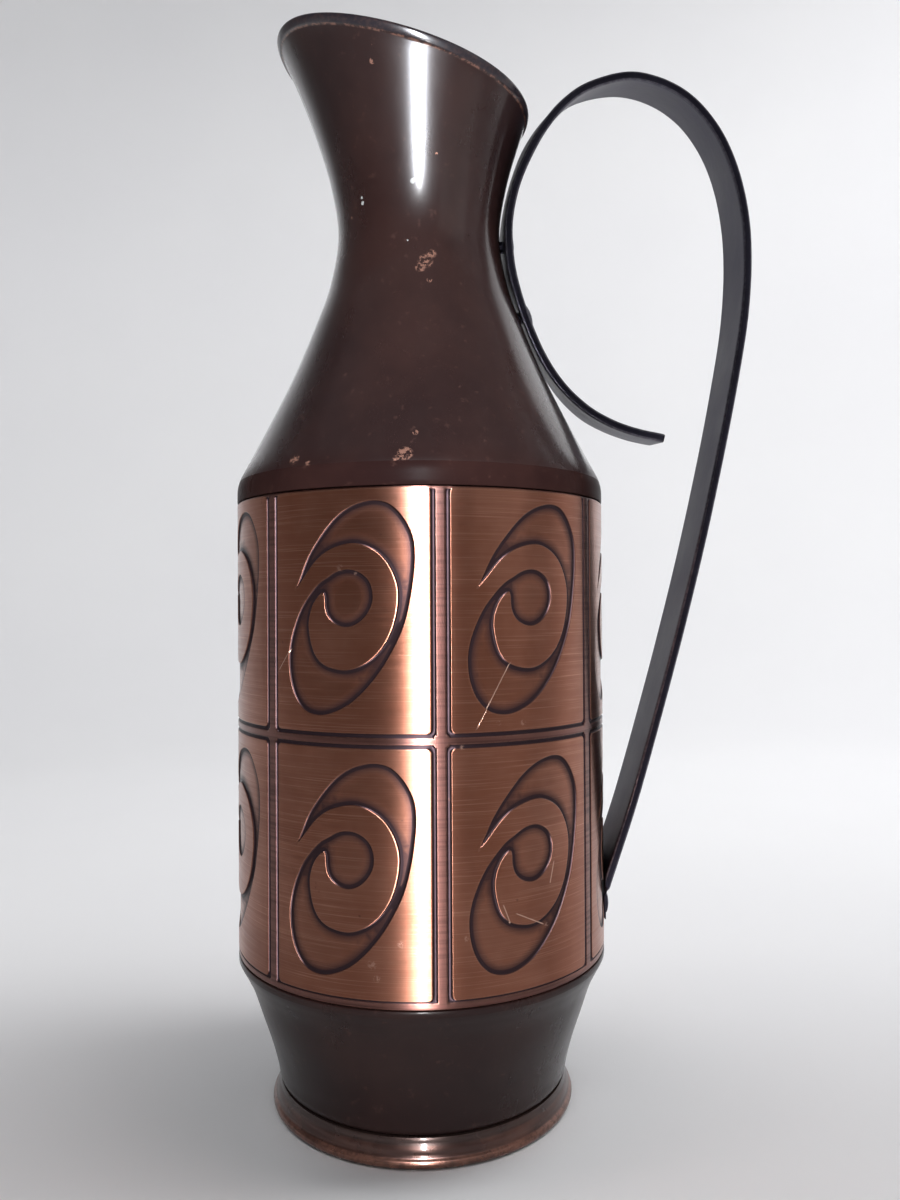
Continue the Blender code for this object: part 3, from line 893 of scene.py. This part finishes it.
def contour(values, s_axis, z_axis, level):
    """Lines where the grid passes a level, as lists of (s, z), ends on the border or closed."""
    above = values > level
    links = {}
    place = {}

    def edge(key):
        if key not in place:
            i, j, way = key
            i2, j2 = (i + 1, j) if way == 0 else (i, j + 1)
            a, b = values[i, j], values[i2, j2]
            share = float(np.clip((level - a) / (b - a), 0.02, 0.98))
            place[key] = (
                s_axis[i] + (s_axis[i2] - s_axis[i]) * share,
                z_axis[j] + (z_axis[j2] - z_axis[j]) * share,
            )
        return key

    mixed = (above[:-1, :-1] != above[1:, :-1]) | (above[:-1, :-1] != above[:-1, 1:])
    mixed |= above[:-1, :-1] != above[1:, 1:]
    for i, j in zip(*np.nonzero(mixed)):
        corner = (above[i, j], above[i + 1, j], above[i + 1, j + 1], above[i, j + 1])
        sides = ((i, j, 0), (i + 1, j, 1), (i, j + 1, 0), (i, j, 1))
        crossed = [edge(sides[k]) for k in range(4) if corner[k] != corner[(k + 1) % 4]]
        if len(crossed) == 4:
            middle = values[i : i + 2, j : j + 2].mean() > level
            first = (0, 1, 2, 3) if middle == corner[1] else (3, 0, 1, 2)
            pairs = [(crossed[first[0]], crossed[first[1]]), (crossed[first[2]], crossed[first[3]])]
            if middle == corner[0]:
                pairs = [(crossed[0], crossed[1]), (crossed[2], crossed[3])]
            else:
                pairs = [(crossed[3], crossed[0]), (crossed[1], crossed[2])]
        else:
            pairs = [tuple(crossed)]
        for a, b in pairs:
            links.setdefault(a, []).append(b)
            links.setdefault(b, []).append(a)
    lines = []
    unused = set(links)
    starts = sorted(k for k in links if len(links[k]) == 1) + sorted(links)
    for start in starts:
        if start not in unused:
            continue
        line = [start]
        unused.discard(start)
        while True:
            onward = [k for k in links[line[-1]] if k in unused]
            if not onward:
                break
            line.append(onward[0])
            unused.discard(onward[0])
        closed = len(line) > 2 and line[0] in links[line[-1]]
        lines.append((np.array([place[k] for k in line]), closed))
    return lines


def thinned(line, closed, step):
    if closed:
        line = np.concatenate([line, line[:1]])
    run = np.concatenate([[0.0], np.cumsum(np.hypot(*np.diff(line, axis=0).T))])
    if run[-1] < 3 * step:
        return None
    count = max(int(round(run[-1] / step)), 3)
    even = np.linspace(0.0, run[-1], count + 1)
    made = np.stack([np.interp(even, run, line[:, k]) for k in (0, 1)], axis=1)
    return made[:-1] if closed else made


def band_tile():
    """One column of the relief, flat: points (s, z) and triangles."""
    pitch = 0.3
    s_axis = np.linspace(0.0, COLUMN_W, int(COLUMN_W / pitch) + 1)
    z_axis = np.linspace(BAND_BOTTOM, BAND_TOP, int((BAND_TOP - BAND_BOTTOM) / pitch) + 1)
    grid = np.stack(np.meshgrid(s_axis, z_axis, indexing="ij"), axis=2)
    recess, panel = band_fields(grid.reshape(-1, 2))
    values = recess.reshape(len(s_axis), len(z_axis))
    points, edges = [], []

    def add_line(line, closed):
        start = len(points)
        points.extend(map(tuple, line))
        count = len(line)
        edges.extend((start + i, start + i + 1) for i in range(count - 1))
        if closed:
            edges.append((start + count - 1, start))

    for level, step in ((-0.40, 0.8), (-0.12, 0.55), (0.04, 0.5), (0.19, 0.5), (0.34, 0.55), (1.0, 1.1)):
        for line, closed in contour(values, s_axis, z_axis, level):
            made = thinned(line, closed, step)
            if made is not None:
                if not closed:  # an open line runs out to the border exactly
                    for end in (0, -1):
                        for axis, bound in ((0, 0.0), (0, COLUMN_W), (1, BAND_BOTTOM), (1, BAND_TOP)):
                            if abs(made[end, axis] - bound) < 0.08:
                                made[end, axis] = bound
                add_line(made, closed)
    # the frame of the tile, with levels where the edges roll and the bead turns
    rows = sorted(
        set(np.round(np.linspace(BAND_BOTTOM, BAND_TOP, 80), 4))
        | {41.7, 41.85, 42.1, 160.15, 160.3, 160.45}
    )
    columns = np.linspace(0.0, COLUMN_W, 41)
    add_line(np.array([(0.0, z) for z in rows]), False)
    add_line(np.array([(COLUMN_W, z) for z in rows]), False)
    for z in (BAND_BOTTOM, 41.7, 41.85, 42.1, 160.15, 160.3, 160.45, BAND_TOP):
        add_line(np.array([(s, z) for s in columns]), False)
    fill_s = np.linspace(0.0, COLUMN_W, 28)[1:-1]
    fill_z = np.linspace(BAND_BOTTOM, BAND_TOP, 70)[1:-1]
    fill = np.array([(s + (0.45 if k % 2 else 0.0), z) for k, z in enumerate(fill_z) for s in fill_s])
    away = band_fields(fill)[0]
    clear = np.ones(len(fill), bool)
    for level in (-0.40, -0.12, 0.04, 0.19, 0.34, 1.0):
        clear &= np.abs(away - level) > 0.32
    clear &= (fill[:, 1] > 42.6) & (fill[:, 1] < 159.6) & (fill[:, 0] < COLUMN_W - 0.6) & (fill[:, 0] > 0.6)
    points.extend(map(tuple, fill[clear]))
    verts, _, faces, *_ = delaunay_2d_cdt([Vector(p) for p in points], edges, [], 0, 1e-5)
    verts = np.array([tuple(v) for v in verts])
    triangles = np.array([tuple(f) for f in faces])
    corners = verts[triangles]
    area = np.cross(corners[:, 1] - corners[:, 0], corners[:, 2] - corners[:, 0])
    triangles = np.where((area < 0)[:, None], triangles[:, ::-1], triangles)
    triangles = triangles[np.abs(area) > 1e-9]
    return verts, triangles


def zipped(first, second):
    """Triangles between two rings of (position along, index), each sorted and closed."""
    faces = []
    i = j = 0
    n, m = len(first), len(second)
    while i < n or j < m:
        a, b = first[i % n], second[j % m]
        next_a = first[(i + 1) % n][0] + (1.0 if i + 1 >= n else 0.0)
        next_b = second[(j + 1) % m][0] + (1.0 if j + 1 >= m else 0.0)
        if j >= m or (i < n and next_a <= next_b):
            faces.append((a[1], first[(i + 1) % n][1], b[1]))
            i += 1
        else:
            faces.append((a[1], second[(j + 1) % m][1], b[1]))
            j += 1
    return faces


def make_band(materials):
    verts, triangles = band_tile()
    count = len(verts)
    left = np.nonzero(np.abs(verts[:, 0]) < 1e-4)[0]
    right = np.nonzero(np.abs(verts[:, 0] - COLUMN_W) < 1e-4)[0]
    left = left[np.argsort(verts[left, 1])]
    right = right[np.argsort(verts[right, 1])]
    if len(left) != len(right) or np.abs(verts[left, 1] - verts[right, 1]).max() > 1e-3:
        raise RuntimeError(f"the relief tile's sides differ: {len(left)} and {len(right)} points")
    number = np.full((BAND_COLUMNS, count), -1)
    place, recess_all, panel_all, normals = [], [], [], []
    height = band_height(verts)
    recess, panel = band_fields(verts)
    step = 0.03
    slope_s = (band_height(verts + [step, 0]) - height) / step
    slope_z = (band_height(verts + [0, step]) - height) / step
    slope_s[np.concatenate([left, right])] = 0.0
    is_right = np.zeros(count, bool)
    is_right[right] = True
    total = 0
    for column in range(BAND_COLUMNS):
        own = np.nonzero(~is_right)[0]
        number[column, own] = total + np.arange(len(own))
        total += len(own)
        angle = BAND_FIRST_BAR + (column * COLUMN_W + verts[own, 0]) / BODY_R
        radius = BODY_R + height[own]
        out = np.stack([np.sin(angle), -np.cos(angle), np.zeros(len(own))], 1)
        along = np.stack([np.cos(angle), np.sin(angle), np.zeros(len(own))], 1)
        spot = out * radius[:, None] * MM
        spot[:, 2] = verts[own, 1] * MM
        spot[:, 0] += AXIS_X
        place.append(spot)
        normal = out - along * slope_s[own][:, None] - np.array([0, 0, 1.0]) * slope_z[own][:, None]
        normals.append(normal / np.linalg.norm(normal, axis=1)[:, None])
        recess_all.append(recess[own])
        panel_all.append(panel[own])
    for column in range(BAND_COLUMNS):
        number[column, right] = number[(column + 1) % BAND_COLUMNS, left]
    faces = [number[column][triangles] for column in range(BAND_COLUMNS)]
    place = np.concatenate(place)
    outer_count = len(place)
    # rims and the plain inner wall
    around = 196
    inner_r = BODY_R - WALL
    inner_rows = [BAND_TOP] + [BAND_TOP - (BAND_TOP - BAND_BOTTOM) * i / 12 for i in range(1, 12)] + [BAND_BOTTOM]
    inner = []
    for z in inner_rows:
        for k in range(around):
            a = BAND_FIRST_BAR + 2 * math.pi * k / around
            inner.append(tuple(polar(inner_r, a, z)))
    place = np.concatenate([place, np.array(inner)])
    extra = []
    for row in range(len(inner_rows) - 1):
        for k in range(around):
            j = (k + 1) % around
            a, b = outer_count + row * around + k, outer_count + row * around + j
            c, e = a + around, b + around
            extra += [(a, b, e), (a, e, c)]
    for z, row, flip in ((BAND_TOP, 0, False), (BAND_BOTTOM, len(inner_rows) - 1, True)):
        rim = []
        on = np.nonzero(np.abs(verts[:, 1] - z) < 1e-4)[0]
        for column in range(BAND_COLUMNS):
            for i in on:
                if not is_right[i]:
                    share = (column + verts[i, 0] / COLUMN_W) / BAND_COLUMNS
                    rim.append((share, int(number[column, i])))
        rim.sort()
        ring = [(k / around, outer_count + row * around + k) for k in range(around)]
        made = zipped(rim, ring)
        extra += [f[::-1] for f in made] if flip else made
    faces = np.concatenate(faces + [np.array(extra)])
    mesh = bpy.data.meshes.new("relief_sleeve")
    mesh.from_pydata(place.tolist(), [], faces.tolist())
    for label, values in (("recess", recess_all), ("panel", panel_all)):
        attribute = mesh.attributes.new(label, "FLOAT", "POINT")
        data = np.concatenate(values + [np.full(len(place) - outer_count, -5.0 if label == "recess" else 5.0)])
        attribute.data.foreach_set("value", np.clip(data, -5.0, 5.0).astype(np.float32))
    mesh.polygons.foreach_set(
        "material_index", [0] * (BAND_COLUMNS * len(triangles)) + [1] * len(extra)
    )
    mesh.shade_smooth()
    for mat in materials:
        mesh.materials.append(mat)
    bm = bmesh.new()
    bm.from_mesh(mesh)
    bm.verts.ensure_lookup_table()
    open_edges = sum(1 for e in bm.edges if len(e.link_faces) != 2)
    turned_in = sum(1 for f in bm.faces if f.material_index == 0 and
                    f.normal.dot(Vector((f.calc_center_median().x - AXIS_X, f.calc_center_median().y, 0))) < 0)
    bmesh.ops.recalc_face_normals(bm, faces=bm.faces)
    bm.to_mesh(mesh)
    bm.free()
    print("relief sleeve:", len(place), "points,", len(faces), "faces,", open_edges, "open,", turned_in, "turned in")
    corner_normals = np.array([tuple(n.vector) for n in mesh.corner_normals])
    loops = np.empty(len(mesh.loops), np.int32)
    mesh.loops.foreach_get("vertex_index", loops)
    outer_faces = np.zeros(len(mesh.polygons), np.int32)
    mesh.polygons.foreach_get("material_index", outer_faces)
    totals = np.empty(len(mesh.polygons), np.int32)
    mesh.polygons.foreach_get("loop_total", totals)
    loop_outer = np.repeat(outer_faces == 0, totals)
    exact = np.concatenate(normals)
    flat = np.empty(len(mesh.polygons) * 3, np.float32)
    mesh.polygons.foreach_get("normal", flat)
    loop_flat = np.repeat(flat.reshape(-1, 3), totals, axis=0)
    use = loop_outer & (loops < outer_count)
    corner_normals[use] = exact[loops[use]]
    rims = ~loop_outer & (np.abs(loop_flat[:, 2]) > 0.5)
    corner_normals[rims] = loop_flat[rims]
    walls = ~loop_outer & ~rims
    spots = place[loops[walls]] - np.array([AXIS_X, 0, 0])
    inward = -np.stack([spots[:, 0], spots[:, 1], np.zeros(len(spots))], 1)
    corner_normals[walls] = inward / np.maximum(np.linalg.norm(inward, axis=1), 1e-9)[:, None]
    mesh.normals_split_custom_set(corner_normals.tolist())
    return piece("relief_sleeve", mesh, "brushed_copper", "relief_band")


# -------------------------------------------------------------------- handle
def strap_station(u):
    x, z, twist = spline(STRAP_PATH, u)
    ahead = spline(STRAP_PATH, min(u + 0.02, len(STRAP_PATH) - 1.0))
    behind = spline(STRAP_PATH, max(u - 0.02, 0.0))
    tangent = Vector((ahead[0] - behind[0], 0.0, ahead[1] - behind[1])).normalized()
    outward = Vector((-tangent.z, 0.0, tangent.x))
    return Vector((x, 0.0, z)), tangent, outward, math.radians(twist)


def strap_at_height(z):
    low, high = 3.0, 13.0
    for _ in range(40):
        mid = (low + high) / 2
        if strap_station(mid)[0].z < z:
            low = mid
        else:
            high = mid
    return (low + high) / 2


def bar_section(half_w, half_t, corner):
    """(across, through, edge) round a flat bar's section with rounded corners."""
    made = []
    for sw, st, start in ((1, 1, 90), (1, -1, 0), (-1, -1, -90), (-1, 1, -180)):
        cw, ct = sw * (half_w - corner), st * (half_t - corner)
        for i in range(5):
            a = math.radians(start - 90 * i / 4)
            made.append((cw + corner * math.cos(a), ct + corner * math.sin(a), 1.0 if 0 < i < 4 else 0.75))
        if (sw, st) in ((1, -1), (-1, 1)):
            for share in (0.93, 0.6, 0.2, -0.2, -0.6, -0.93):
                side = -1 if (sw, st) == (1, -1) else 1
                made.append((share * (half_w - corner) * -side, side * half_t, 0.45 if abs(share) > 0.9 else 0.0))
        else:
            made.append((sw * half_w, 0.0, 0.5))
    return made


def make_strap(materials):
    last = len(STRAP_PATH) - 1
    stations = []
    u = 0.0
    while u <= last:
        centre = strap_station(u)[0]
        if u > 22 and centre.z < TONGUE_END_Z:
            break
        stations.append(u)
        u += 0.125 if not (u > 22 and centre.z < 66.0) else 0.05
    rows, edges = [], []
    for u in stations:
        centre, tangent, outward, twist = strap_station(u)
        across = Vector((0, 1, 0)) * math.cos(twist) + outward * math.sin(twist)
        face = outward * math.cos(twist) - Vector((0, 1, 0)) * math.sin(twist)
        foot = centre.z < 80.0 and centre.x < 60.0
        half, thick = STRAP_W / 2, STRAP_T / 2
        # the free end is filed round across its thickness and its corners
        near_end = u / 0.6
        if near_end < 1.0:
            half -= 0.9 * (1 - math.sqrt(max(1 - (1 - near_end) ** 2, 0.0)))
        wave = 0.10 * noise.noise(Vector((u * 0.9, 3.1, 0.0))) + 0.05 * noise.noise(Vector((u * 3.3, 9.4, 0.0)))
        half += wave
        if foot and centre.z < STRAP_FULL_Z:
            share = min(1.0, (STRAP_FULL_Z - centre.z) / (STRAP_FULL_Z - TONGUE_TOP_Z))
            share = share * share * (3 - 2 * share) * 0.5 + share * 0.5
            half += (TONGUE_HALF_W - half) * share
            if centre.z < TONGUE_END_Z + 2.4:
                into = (TONGUE_END_Z + 2.4 - centre.z) / 2.4
                half *= math.sqrt(max(1.0 - 0.8 * into * into, 0.05))
        corner = 0.62 if half > 4 else 0.3
        ring = []
        for v, w, edge in bar_section(half, thick, min(corner, thick * 0.8)):
            point = centre + across * v + face * w
            if foot:
                lift = GAP + TONGUE_T * (w + thick) / (2 * thick)
                seat = math.sqrt((BODY_R + lift) ** 2 - point.y**2)
                if centre.z > TONGUE_TOP_Z:
                    point.x = max(point.x, seat)
                else:
                    inner_only = w < 0
                    point.x = max(point.x, seat) if inner_only else seat
            ring.append(point)
            edges.append(edge)
        rows.append(ring)
    bm = bmesh.new()
    label = bm.verts.layers.float.new("edge")
    made = []
    k = 0
    for ring in rows:
        line = []
        for p in ring:
            vert = bm.verts.new(at(p.x, p.y, p.z))
            vert[label] = edges[k]
            k += 1
            line.append(vert)
        made.append(line)
    count = len(made[0])
    for first, second in zip(made, made[1:]):
        for i in range(count):
            j = (i + 1) % count
            bm.faces.new((first[i], first[j], second[j], second[i]))
    # rounded ends: one inset ring past each end, then a fan
    for line, u, way in ((made[0], stations[0], -1), (made[-1], stations[-1], 1)):
        centre, tangent, outward, twist = strap_station(u)
        middle = sum((v.co for v in line), Vector()) / count
        push = Vector((tangent.x, 0, tangent.z)) * way * MM
        ring = []
        for v in line:
            vert = bm.verts.new(middle + (v.co - middle) * 0.9 + push * (0.35 if way < 0 else 0.15))
            vert[label] = 0.9
            ring.append(vert)
        tip = bm.verts.new(middle + push * (0.42 if way < 0 else 0.2))
        tip[label] = 0.5
        for i in range(count):
            j = (i + 1) % count
            bm.faces.new((line[i], line[j], ring[j], ring[i]))
            bm.faces.new((ring[i], ring[j], tip))
    mesh = finish_mesh(bm, "iron_strap", materials, sharp=50.0)
    return piece("iron_strap", mesh, "blackened_iron", "handle_strap")


def make_rivet(name, node, origin, axis, grip, head_h, materials):
    """Hammered dome, shank and flat upset head, about an axis through origin."""
    dome = [
        (RIVET_HEAD_R * math.cos(math.radians(a)), head_h * math.sin(math.radians(a)))
        for a in (0, 8, 18, 30, 42, 54, 66, 78)
    ]
    section = list(reversed(dome))
    section += [(RIVET_HEAD_R - 0.15, -0.08), (RIVET_SHANK_R, -0.1), (RIVET_SHANK_R, -grip)]
    section += [
        (RIVET_HEAD_R - 0.5, -grip),
        (RIVET_HEAD_R - 0.4, -grip - 0.2),
        (RIVET_HEAD_R - 0.6, -grip - 0.55),
        (RIVET_HEAD_R - 1.2, -grip - 0.75),
    ]
    turn = Vector((0, 0, 1)).rotation_difference(axis).to_matrix()
    sides = 40
    bm = bmesh.new()

    def place(x, y, z):
        p = turn @ Vector((x, y, z))
        return at(origin.x + p.x, origin.y + p.y, origin.z + p.z)

    top = bm.verts.new(place(0, 0, head_h))
    bottom = bm.verts.new(place(0, 0, -grip - 0.8))
    rows = []
    for i, (r, z) in enumerate(section):
        row = []
        for k in range(sides):
            a = 2 * math.pi * k / sides
            dent = 0.0
            if z > 0.1:
                dent = 0.10 * noise.noise(Vector((math.cos(a) * r * 0.9, math.sin(a) * r * 0.9, origin.z)))
            row.append(bm.verts.new(place((r + dent * 0.5) * math.cos(a), (r + dent * 0.5) * math.sin(a), z + dent * 0.6)))
        rows.append(row)
    for k in range(sides):
        j = (k + 1) % sides
        bm.faces.new((top, rows[0][k], rows[0][j]))
        bm.faces.new((bottom, rows[-1][j], rows[-1][k]))
        for first, second in zip(rows, rows[1:]):
            bm.faces.new((first[k], second[k], second[j], first[j]))
    mesh = finish_mesh(bm, name, materials, sharp=45.0)
    return piece(name, mesh, "rivet_iron", node)


# --------------------------------------------------------------------- stage
def make_stage():
    """Pale round floor that curves up into a wall all round."""
    t = Tree("pale_backdrop")
    low = t.noise(2.0, 3.0, 0.5)
    split = t.add("ShaderNodeSeparateXYZ")
    t.put(split.inputs[0], t.coords)
    # the part of the wall behind the lens, to its left, is painted a quiet mid grey as shade, a dim surrounding for the
    # jug to reflect
    wall = t.ramp(split.outputs[2], 0.03, 0.35)
    facing = t.vmath("DOT_PRODUCT", t.coords, (-0.64, -0.77, 0.0))
    behind = t.ramp(facing, -0.42, 0.25)
    painted_shade_patch = t.math("MULTIPLY", wall, behind)
    pale = t.mix(t.ramp(low, 0.3, 0.7), (0.80, 0.80, 0.815), (0.83, 0.83, 0.84))
    t.set(Base_Color=t.mix(painted_shade_patch, pale, (0.16, 0.16, 0.165)), Roughness=0.9)
    t.bsdf.inputs["Specular IOR Level"].default_value = 0.1
    radius, fillet, height = 1.25, 0.6, 1.5
    profile = [(0.0, 0.0), (0.15, 0.0), (0.4, 0.0), (radius - fillet, 0.0)]
    profile += [
        (
            radius - fillet + fillet * math.sin(math.radians(a)),
            fillet - fillet * math.cos(math.radians(a)),
        )
        for a in range(6, 91, 6)
    ]
    profile += [(radius, height)]
    around = 96
    bm = bmesh.new()
    centre = bm.verts.new((0, 0, 0))
    rows = [
        [
            bm.verts.new((r * math.cos(2 * math.pi * k / around), r * math.sin(2 * math.pi * k / around), z))
            for k in range(around)
        ]
        for r, z in profile[1:]
    ]
    for k in range(around):
        j = (k + 1) % around
        bm.faces.new((centre, rows[0][k], rows[0][j]))
        for first, second in zip(rows, rows[1:]):
            bm.faces.new((first[k], second[k], second[j], first[j]))
    mesh = bpy.data.meshes.new("pale_backdrop")
    bm.to_mesh(mesh)
    bm.free()
    mesh.shade_smooth()
    mesh.materials.append(t.mat)
    obj = bpy.data.objects.new("pale_backdrop", mesh)
    bpy.context.scene.collection.objects.link(obj)
    obj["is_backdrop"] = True


def make_camera():
    yaw, pitch, roll = -0.0295, -0.0077, -0.0053
    cy, sy, cp, sp, cr, sr = (f(v) for v in (yaw, pitch, roll) for f in (math.cos, math.sin))
    upright = Matrix(((1, 0, 0), (0, 0, -1), (0, 1, 0)))
    turn = Matrix(((cy, 0, sy), (0, 1, 0), (-sy, 0, cy)))
    nod = Matrix(((1, 0, 0), (0, cp, -sp), (0, sp, cp)))
    lean = Matrix(((cr, -sr, 0), (sr, cr, 0), (0, 0, 1)))
    world_to_lens = Matrix(((1, 0, 0), (0, -1, 0), (0, 0, -1))) @ lean @ nod @ turn @ upright
    data = bpy.data.cameras.new("camera")
    data.sensor_width = 36.0
    data.lens = 949.0064 / 1200 * 36.0
    data.clip_start = 0.01
    data.clip_end = 20.0
    obj = bpy.data.objects.new("camera", data)
    bpy.context.scene.collection.objects.link(obj)
    obj.matrix_world = Matrix.Translation(at(0.3, -265.64, 132.92)) @ world_to_lens.transposed().to_4x4()
    bpy.context.scene.camera = obj
    return obj


def area_light(name, where, target, width, height, watts, colour=(1, 1, 1)):
    data = bpy.data.lights.new(name, "AREA")
    data.shape = "RECTANGLE"
    data.size, data.size_y = width, height
    data.energy = watts
    data.color = colour
    obj = bpy.data.objects.new(name, data)
    bpy.context.scene.collection.objects.link(obj)
    obj.location = where
    aim = Vector(target) - Vector(where)
    obj.rotation_euler = aim.to_track_quat("-Z", "Y").to_euler()
    obj.visible_camera = False
    return obj


def make_lights():
    scene = bpy.context.scene
    world = bpy.data.worlds.new("studio")
    scene.world = world
    world.use_nodes = True
    back = world.node_tree.nodes["Background"]
    back.inputs["Color"].default_value = (0.93, 0.95, 1.0, 1.0)
    back.inputs["Strength"].default_value = 0.14
    x = AXIS_X
    # two small lamps, above and below the lens, make the bright stripe down the jug's middle
    lit = bpy.data.collections.new("lit_by_lens_lamps")
    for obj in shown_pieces():
        if "iron" not in obj.name and "rivet" not in obj.name:
            lit.objects.link(obj)
    for name, y, z, tall, watts in (("lamp_high", -0.285, 0.234, 0.110, 1.6), ("lamp_low", -0.275, 0.070, 0.100, 0.50)):
        lamp = area_light(name, (x + 0.001, y, z), (x, 0, z * 0.6 + 0.06), 0.022 if z > 0.2 else 0.010, tall, watts)
        lamp.data.shape = "ELLIPSE"
        lamp.light_linking.receiver_collection = lit
    halo = area_light("lamp_halo", (x, -0.295, 0.225), (x, 0, 0.18), 0.085, 0.13, 0.85, (0.80, 0.86, 1.0))
    halo.data.shape = "ELLIPSE"
    halo.light_linking.receiver_collection = lit
    # soft light over the lens, to the right of it
    area_light("soft_front", (x + 0.55, -0.50, 0.45), (x, 0, 0.12), 0.5, 0.6, 0.4, (1.0, 0.98, 0.95))
    # light on the back wall and the floor behind
    wash = area_light("back_wash", (0.50, 0.05, 0.95), (0.30, 1.2, 0.35), 0.9, 0.6, 11.7)
    wash.visible_glossy = False
    fill = area_light("left_wash", (-0.55, 0.10, 0.9), (-0.22, 0.15, 0.0), 0.6, 0.6, 2.6)
    fill.visible_glossy = False
    scene.view_settings.view_transform = "Standard"
    scene.view_settings.look = "None"
    scene.view_settings.exposure = 0.0
    scene.view_settings.gamma = 1.0


# --------------------------------------------------------------------- build
def neck_spot(x, z):
    """Point on the neck's front at a height, x mm to the right of the axis."""
    r = shoulder_radius(z)
    return at(x, -math.sqrt(max(r * r - x * x, 0.0)), z)


def main():
    make_camera()
    make_stage()

    # (where, radius, raggedness) of the places where the lacquer is worn to the copper
    spots = [
        (neck_spot(1.6, 221.0), 2.3, 3.4),
        (neck_spot(3.2, 223.2), 1.5, 2.8),
        (neck_spot(0.3, 219.2), 1.6, 2.8),
        (neck_spot(2.6, 215.6), 0.9, 1.5),
        (neck_spot(-3.4, 168.2), 2.2, 3.2),
        (neck_spot(-5.6, 166.6), 1.4, 2.4),
        (neck_spot(-30.0, 168.5), 1.8, 2.4),
        (neck_spot(-26.5, 166.8), 1.1, 1.8),
        (neck_spot(-1.0, 173.5), 0.9, 1.6),
        (neck_spot(4.6, 249.0), 0.45, 0.5),
        (neck_spot(-11.5, 270.0), 0.9, 1.0),
        (neck_spot(-17.8, 236.5), 0.5, 0.6),
    ]
    specks = [
        (neck_spot(-1.5, 242.4), 0.75),
        (neck_spot(-14.7, 239.0), 0.55),
        (neck_spot(-14.9, 240.4), 0.45),
        (neck_spot(-2.9, 226.9), 0.28),
    ]
    lacquer = lacquer_material("dark_lacquer_neck", spots, specks, rim_wear=True)
    lacquer_low = lacquer_material("dark_lacquer_lower", (), (), 0.8, 0.35, 1.2)
    inside = inside_material()
    copper = copper_material(SCRATCHES, RUBS)
    iron = iron_material(
        "blackened_strap_iron",
        "edge",
        [(at(24.5 - 1.0, -9.6, 205.0), 1.0, 1.0)],
    )
    rivet_iron = iron_material("blackened_rivet_iron", None, (), 1.5)

    collar = lacquer_material("dark_lacquer_collar", (), (), 1.15, 0.0, 1.05)
    make_neck([lacquer, inside, collar])
    make_band([copper, inside])
    make_lower([lacquer_low, inside])
    make_foot([foot_material()])
    make_strap([iron])
    for name, height in UPPER_RIVET_Z.items():
        centre, tangent, outward, twist = strap_station(strap_at_height(height))
        face = outward * math.cos(twist) - Vector((0, 1, 0)) * math.sin(twist)
        axis = -face
        seat = centre + axis * (STRAP_T / 2 + 0.08)
        make_rivet("domed_" + name, name, seat, axis, STRAP_T + WALL + 4 * GAP + 0.7, RIVET_HEAD_H, [rivet_iron])
    seat = Vector((BODY_R + GAP + TONGUE_T + 0.1, 0.0, LOWER_RIVET_Z))
    make_rivet(
        "domed_handle_rivet_lower",
        "handle_rivet_lower",
        seat,
        Vector((1, 0, 0)),
        TONGUE_T + WALL + 2 * GAP + 0.15,
        0.9,
        [rivet_iron],
    )
    make_lights()


# scratches: lower end and upper end as (degrees round from the front, z), then the width
SCRATCHES = [
    ((14.2, 104.4), (25.0, 120.6), 0.16),
    ((24.3, 59.2), (21.9, 64.3), 0.20),
    ((35.9, 57.4), (25.5, 61.8), 0.18),
    ((37.5, 66.8), (39.2, 72.3), 0.22),
    ((-43.0, 118.0), (-38.0, 123.5), 0.14),
    ((148.0, 70.0), (156.0, 84.0), 0.15),
    ((-120.0, 126.0), (-112.0, 133.0), 0.15),
]
# rubbed places: degrees round from the front, z, size
RUBS = [
    (-5.6, 56.5, 1.0),
    (-13.3, 51.6, 1.3),
    (-12.0, 48.6, 1.0),
    (11.5, 57.3, 0.8),
    (21.0, 106.1, 0.7),
    (28.4, 105.8, 0.9),
    (36.7, 57.2, 0.9),
    (-21.8, 142.1, 1.0),
    (-17.5, 140.8, 0.7),
    (10.8, 100.9, 0.8),
    (-150.0, 90.0, 1.2),
    (130.0, 58.0, 1.0),
]
main()
